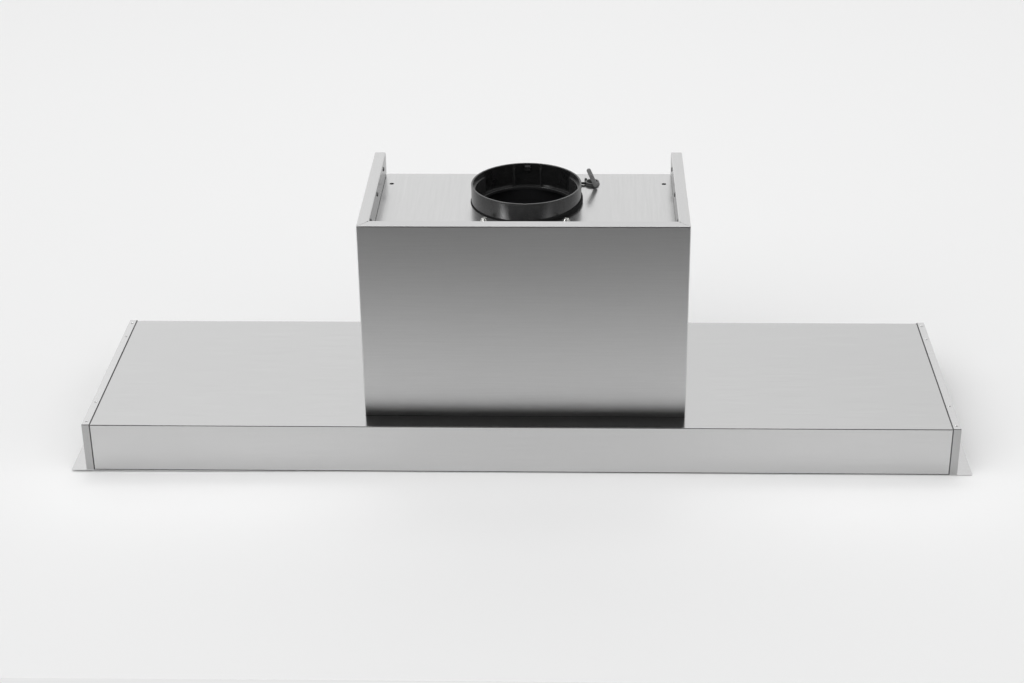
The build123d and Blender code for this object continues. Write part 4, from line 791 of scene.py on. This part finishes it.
# Cap seams: a thin dark bead of painted shade fills the step between each end cap's strip and the shell, along the
# front, the top and the back, where the gap lies in shadow. Its section is a triangle 1.4 mm wide with its upper edge
# against the strip.
# A dark finish for the seams: painted shade in the gaps.
painted_seam_shade = textured("painted_seam_shade", (0.075, 0.075, 0.075), 0.60, mottle=0.15, grain=0.0007)
bead_width, bead_step = 0.0014, 0.0009
beads = []
for side, edge_x, cap_low, cap_high in caps:
    route = rounded_path([(cap_low.y + 0.001, cap_low.z), (cap_low.y + 0.001, cap_high.z - 0.001),
                          (cap_high.y - 0.001, cap_high.z - 0.001), (cap_high.y - 0.001, cap_low.z)], 0.0004, 4)
    way = np.gradient(route, axis=0)
    out = np.stack([-way[:, 1], way[:, 0]], -1) / np.linalg.norm(way, axis=1)[:, None]
    section = ((0, 0), (0, bead_step), (-side * 0.0005, bead_step * 0.85), (-side * bead_width, 0.00005))
    rows = [np.stack([np.full(len(route), edge_x + dx), *(route + out * rise).T], -1) for dx, rise in section]
    beads.append(patch(np.stack(rows), inside=(edge_x - side * 0.0004, 0, 0.03)))
piece("cap_seam_shade_beads", beads, painted_seam_shade, inside=(0, 0, 0.03))


# Lip screws: three blackened pan heads along each of the tower's hanging lips, driven through the lip from the side
# that faces the tower's middle.
dark_screw = textured("blackened_screw", (0.16, 0.16, 0.16), 0.34, mottle=0.15, metal=0.8, grain=0.0004)
lip_screw_y = (tower_low.y + 0.041, (tower_low.y + tower_high.y + 0.003) / 2, tower_high.y - 0.038)
places = [((tower_middle + side * lip_from_middle, y, tower_high.z - 0.010), (-side, 0, 0)) for side in (-1, 1)
          for y in lip_screw_y]
heads("lip_pan_screws", places, dark_screw, "dark_screw", ["lip_screws"], 0.0032, 0.0013, 10,
      [(0.0032, 0), (0.002, 0), (0.002, -0.004), (0, -0.0042)])


# Blind rivets: four domed heads on each end cap's top strip, with the broken mandrel's dimple in their middle. Each
# holds the strip down on the shell.
rivet_steel = textured("rivet_steel", (0.72, 0.72, 0.72), 0.26, mottle=0.05, metal=1.0, grain=0.0004)
rivet_low, rivet_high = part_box("end_cap_rivets")
rivet_x, rivet_ys = 0.575, (-0.1485, -0.094, 0.106, 0.1485)
rivet_foot = rivet_high.z - 0.0009
dome = rounded_path([(0, 0.00085), (0.0006, 0.0008), (0.0015, 0.0009), (0.0026, 0.00035), (0.0026, 0)],
                    (0.0003, 0.0009, 0.0002), 4)
tail = rounded_path([(0, rivet_low.z), (0.0017, rivet_low.z), (0.0017, rivet_foot)], 0.0008, 4)
rivets = []
for at in [(x, y) for x in (-rivet_x, rivet_x) for y in rivet_ys]:
    head = aimed(turned(dome, degrees=np.linspace(0, 360, 41)), (0, 0, 1), (*at, rivet_foot))
    rivets.append(patch(head, inside=(*at, 0)))
    rivets.append(patch(turned(tail, at, np.linspace(0, 360, 17)), inside=(*at, rivet_high.z)))
piece("blind_rivets", rivets, rivet_steel, ["end_cap_rivets"])


# Countersunk screws: zinc-plated heads flush with the trim flange's underside, along its edges and ends. They hold it
# to the shell's hems and to the underside panel.
trim_rows = (((-0.45, -0.15, 0.15, 0.45), (-0.154, 0.154)), ((-0.571, 0.571), (-0.100, 0.0, 0.100)),
             ((-0.320, 0.320), (-0.1435, 0.1435)), ((-0.5535, 0.5535), (-0.060, 0.060)))
places = [((x, y, 0.00120), (0, 0, -1)) for xs, ys in trim_rows for x in xs for y in ys]
heads("countersunk_screws", places, zinc, "screw_steel", ["trim_screws"], 0.0028, 0.00110, 15,
      [(0.0028, 0.0011), (0.0016, 0.0), (0.0015, -0.0053), (0.0, -0.0053)], depth=0.9, sunk=True)


# Grease filters: expanded aluminium mesh in two crossed layers, slit and pulled into zigzag strands, held in each
# hinged frame. The strands stop short of the latch at the middle of the frame's front.
mesh_metal = textured("mesh_aluminium", (0.66, 0.67, 0.68), 0.34, mottle=0.08, metal=1.0, grain=0.0008)
window_x, mesh_front, mesh_back, strand_pitch, half_cell = 0.164, -0.0695, 0.1165, 0.0050, 0.0050
latch_half_width, latch_depth, layer_shift = 0.0225, 0.033, 0.0012
section = np.array(((-0.00045, -0.00025), (0.00045, -0.00025), (0.00045, 0.00025), (-0.00045, 0.00025),
                    (-0.00045, -0.00025)))
for i in (1, 2, 3):
    mesh_low, mesh_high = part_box(f"filter_mesh_{i}")
    frame_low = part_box(f"filter_frame_{i}")[0]
    centre = (mesh_low.x + mesh_high.x) / 2
    columns = np.linspace(-window_x, window_x, int(2 * window_x / half_cell) + 1)
    strands = []
    for layer, level in enumerate((mesh_low.z + 0.0003, mesh_high.z - 0.0003)):
        for j, y in enumerate(np.arange(mesh_front, mesh_back, strand_pitch)):
            zigzag = y + strand_pitch / 2 * (-1.0) ** (np.arange(len(columns)) + j) + layer_shift * layer
            grid = np.stack(np.broadcast_arrays(centre + columns + half_cell * 0.5 * layer, zigzag + section[:, :1],
                                                level + section[:, 1:]), -1)
            middle = (grid[:, 1:, 0] + grid[:, :-1, 0]) / 2 - centre
            clear = (abs(middle) > latch_half_width) | (y > frame_low.y + latch_depth)
            inside_frame = middle < window_x
            strands.append(patch(grid, keep=(clear & inside_frame)[1:], inside=(centre, y, level)))
    piece(f"expanded_mesh_{i}", strands, mesh_metal, [f"filter_mesh_{i}"], f"filter_{i}")


# Lamps: a pressed and frosted glass lens in each bezel, 2 mm thick, with concentric ribs on its lower face that
# spread the light. The ribs' depth follows the square of a sine of the radius.
frosted = textured("frosted_lens", (0.90, 0.90, 0.86), 0.50, mottle=0.02)
frosted.node_tree.nodes["Principled BSDF"].inputs["Transmission Weight"].default_value = 0.35
rib_pitch, rib_depth, lens_rim = 0.0016, 0.0003, 0.0012
for side in ("left", "right"):
    lens_low, lens_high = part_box(f"lamp_lens_{side}")
    centre = ((lens_low.x + lens_high.x) / 2, (lens_low.y + lens_high.y) / 2)
    reach = (lens_high.x - lens_low.x) / 2
    edge = rounded_path([(0, lens_high.z), (reach, lens_high.z), (reach, lens_low.z), (reach - lens_rim, lens_low.z)],
                        (0.0003, 0.0005), 4)
    r = np.linspace(reach - lens_rim, 0, 120)[1:]
    ribs = np.stack([r, lens_low.z + rib_depth * np.sin(math.pi * (reach - lens_rim - r) / rib_pitch) ** 2], -1)
    piece(f"lens_glass_{side}", [patch(turned(np.concatenate([edge, ribs]), centre))], frosted,
          [f"lamp_lens_{side}"], inside=(*centre, lens_high.z))


# Button marks: pictograms printed on the steel buttons, read from below and in front: a lamp with rays, a ring for
# off, and one, two or three bars for the speeds.
print_dark = textured("printed_dark_mark", (0.035, 0.035, 0.035), 0.50, mottle=0.10)
ink_thickness, ink_root = 0.00003, 0.00005


def printed_bar(across, up, turn=0.0):
    """A bar's outline in metres from its reach across and up in millimetres, turned about the mark's middle."""
    outline = round_rectangle(np.array(across) / 1000, np.array(up) / 1000, 0.00014, 4)
    c, s = math.cos(math.radians(turn)), math.sin(math.radians(turn))
    return outline @ np.array([[c, s], [-s, c]])


def speed_bars(count):
    """Bars 0.8 mm wide and 1.5 mm apart, each 1.2 mm taller than the one before."""
    middles = (np.arange(count) - (count - 1) / 2) * 1.5
    return [printed_bar((m - 0.4, m + 0.4), (-2.2, -0.4 + 1.2 * k)) for k, m in enumerate(middles)]


marks = {
    "light": ([printed_bar((-0.22, 0.22), (1.9, 3.1), turn) for turn in range(0, 360, 45)], (0.0, 0.0012)),
    "stop": ([], (0.0019, 0.0025)), "low": (speed_bars(1), None), "medium": (speed_bars(2), None),
    "high": (speed_bars(3), None),
}
for key, (bars, circle) in marks.items():
    button_low, button_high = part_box(f"button_{key}")
    centre = np.array(((button_low.x + button_high.x) / 2, (button_low.y + button_high.y) / 2))
    proud, rooted = button_low.z - ink_thickness, button_low.z + ink_root
    outlines = [centre + outline * (1, -1) for outline in bars]
    patches = [patch(slab(outline, proud, rooted, 0.00001), inside=(*outline.mean(0), rooted)) for outline in outlines]
    if circle:
        inner, outer = circle
        section = [(inner, rooted), (outer, rooted), (outer, proud), (inner, proud)]
        if inner:
            section.append(section[0])
        patches.append(patch(turned(section, centre), inside=(*centre, 0)))
    piece(f"button_mark_{key}", patches, print_dark, body=f"button_{key}")


# The other pieces keep the shape of their CAD nodes: the panel, plates, frames, bezels, buttons, blower and electrics.
# Each takes the finish of its slot: brushed or zinc-coated sheet, cast or chromed metal, moulded plastic or enamel.
panel_steel = brushed_steel("panel_brushed_steel", (0.66, 0.66, 0.66), 0.22, 0.5, axis=(1, 0, 0))
plate_steel = brushed_steel("plate_brushed_steel", (0.62, 0.62, 0.62), 0.22, 0.5, axis=(0, 1, 0))
galvanised = textured("galvanised_sheet", (0.56, 0.57, 0.59), 0.40, mottle=0.06, metal=1.0, fleck=0.007, spangled=True)
bright_steel = textured("satin_chrome", (0.70, 0.70, 0.71), 0.16, mottle=0.02, metal=1.0, relief=0.000005)
cast = textured("cast_aluminium", (0.58, 0.59, 0.60), 0.45, mottle=0.10, metal=1.0, grain=0.0009, relief=0.00006)
anodised = textured("satin_aluminium", (0.70, 0.71, 0.72), 0.30, mottle=0.04, metal=1.0, grain=0.0003)
dark_moulding = textured("dark_moulding", (0.060, 0.060, 0.064), 0.45, mottle=0.10)
white_moulding = textured("off_white_moulding", (0.76, 0.76, 0.73), 0.42, mottle=0.03)
gloss_black = textured("gloss_black", (0.018, 0.018, 0.018), 0.14, mottle=0.10, relief=0.000004)
enamel = textured("dark_enamel", (0.10, 0.10, 0.11), 0.30, mottle=0.06, grain=0.0020, relief=0.00005)
finishes = {
    "stainless_canopy": panel_steel, "stainless_trim": panel_steel, "stainless_panel": panel_steel,
    "stainless_tower": plate_steel, "galvanised_steel": galvanised, "polished_steel": bright_steel,
    "rivet_steel": rivet_steel, "screw_steel": zinc, "dark_screw": dark_screw, "filter_aluminium": anodised,
    "filter_mesh_aluminium": mesh_metal, "cast_aluminium": cast, "frosted_glass": frosted,
    "black_gloss_plastic": gloss_black, "black_plastic": black_moulding, "dark_plastic": dark_moulding,
    "grey_plastic": grey_moulding, "white_plastic": white_moulding, "button_steel": bright_steel,
    "black_rubber": rubber, "motor_paint": enamel,
}
for part in frame["record"]["subparts"]:
    kept = node[part["node"]]
    kept.data.materials.clear()
    kept.data.materials.append(finishes[part["material_slot"]])

# The moulded boxes inside have edges rounded by a little under a millimetre, as they come out of their moulds.
box_edge = 0.0007
for name in ("control_box", "control_box_lid", "led_driver", "terminal_box", "switch_module"):
    moulded = node[name]
    moulded.modifiers.new("joined", "WELD").merge_threshold = 0.00001
    edges = moulded.modifiers.new("soft_edges", "BEVEL")
    edges.width, edges.segments = box_edge, 3
    edges.limit_method, edges.angle_limit = "ANGLE", math.radians(40)
    moulded.modifiers.new("flats", "WEIGHTED_NORMAL").keep_sharp = True

# Flags keep the two side boxes off the sheet steel, which would mirror them as burnt patches from behind.
flagged = bpy.data.collections.new("flagged_from_side_boxes")
for name in ("shell_sheet", "cap_sheet_left", "cap_sheet_right", "tower_sheet"):
    flagged.objects.link(bpy.data.objects[name])
flagged.objects.link(node["trim_flange"])
for held in flagged.collection_objects:
    held.light_linking.link_state = "EXCLUDE"
for name in ("left_box", "right_box"):
    bpy.data.objects[name].light_linking.receiver_collection = flagged
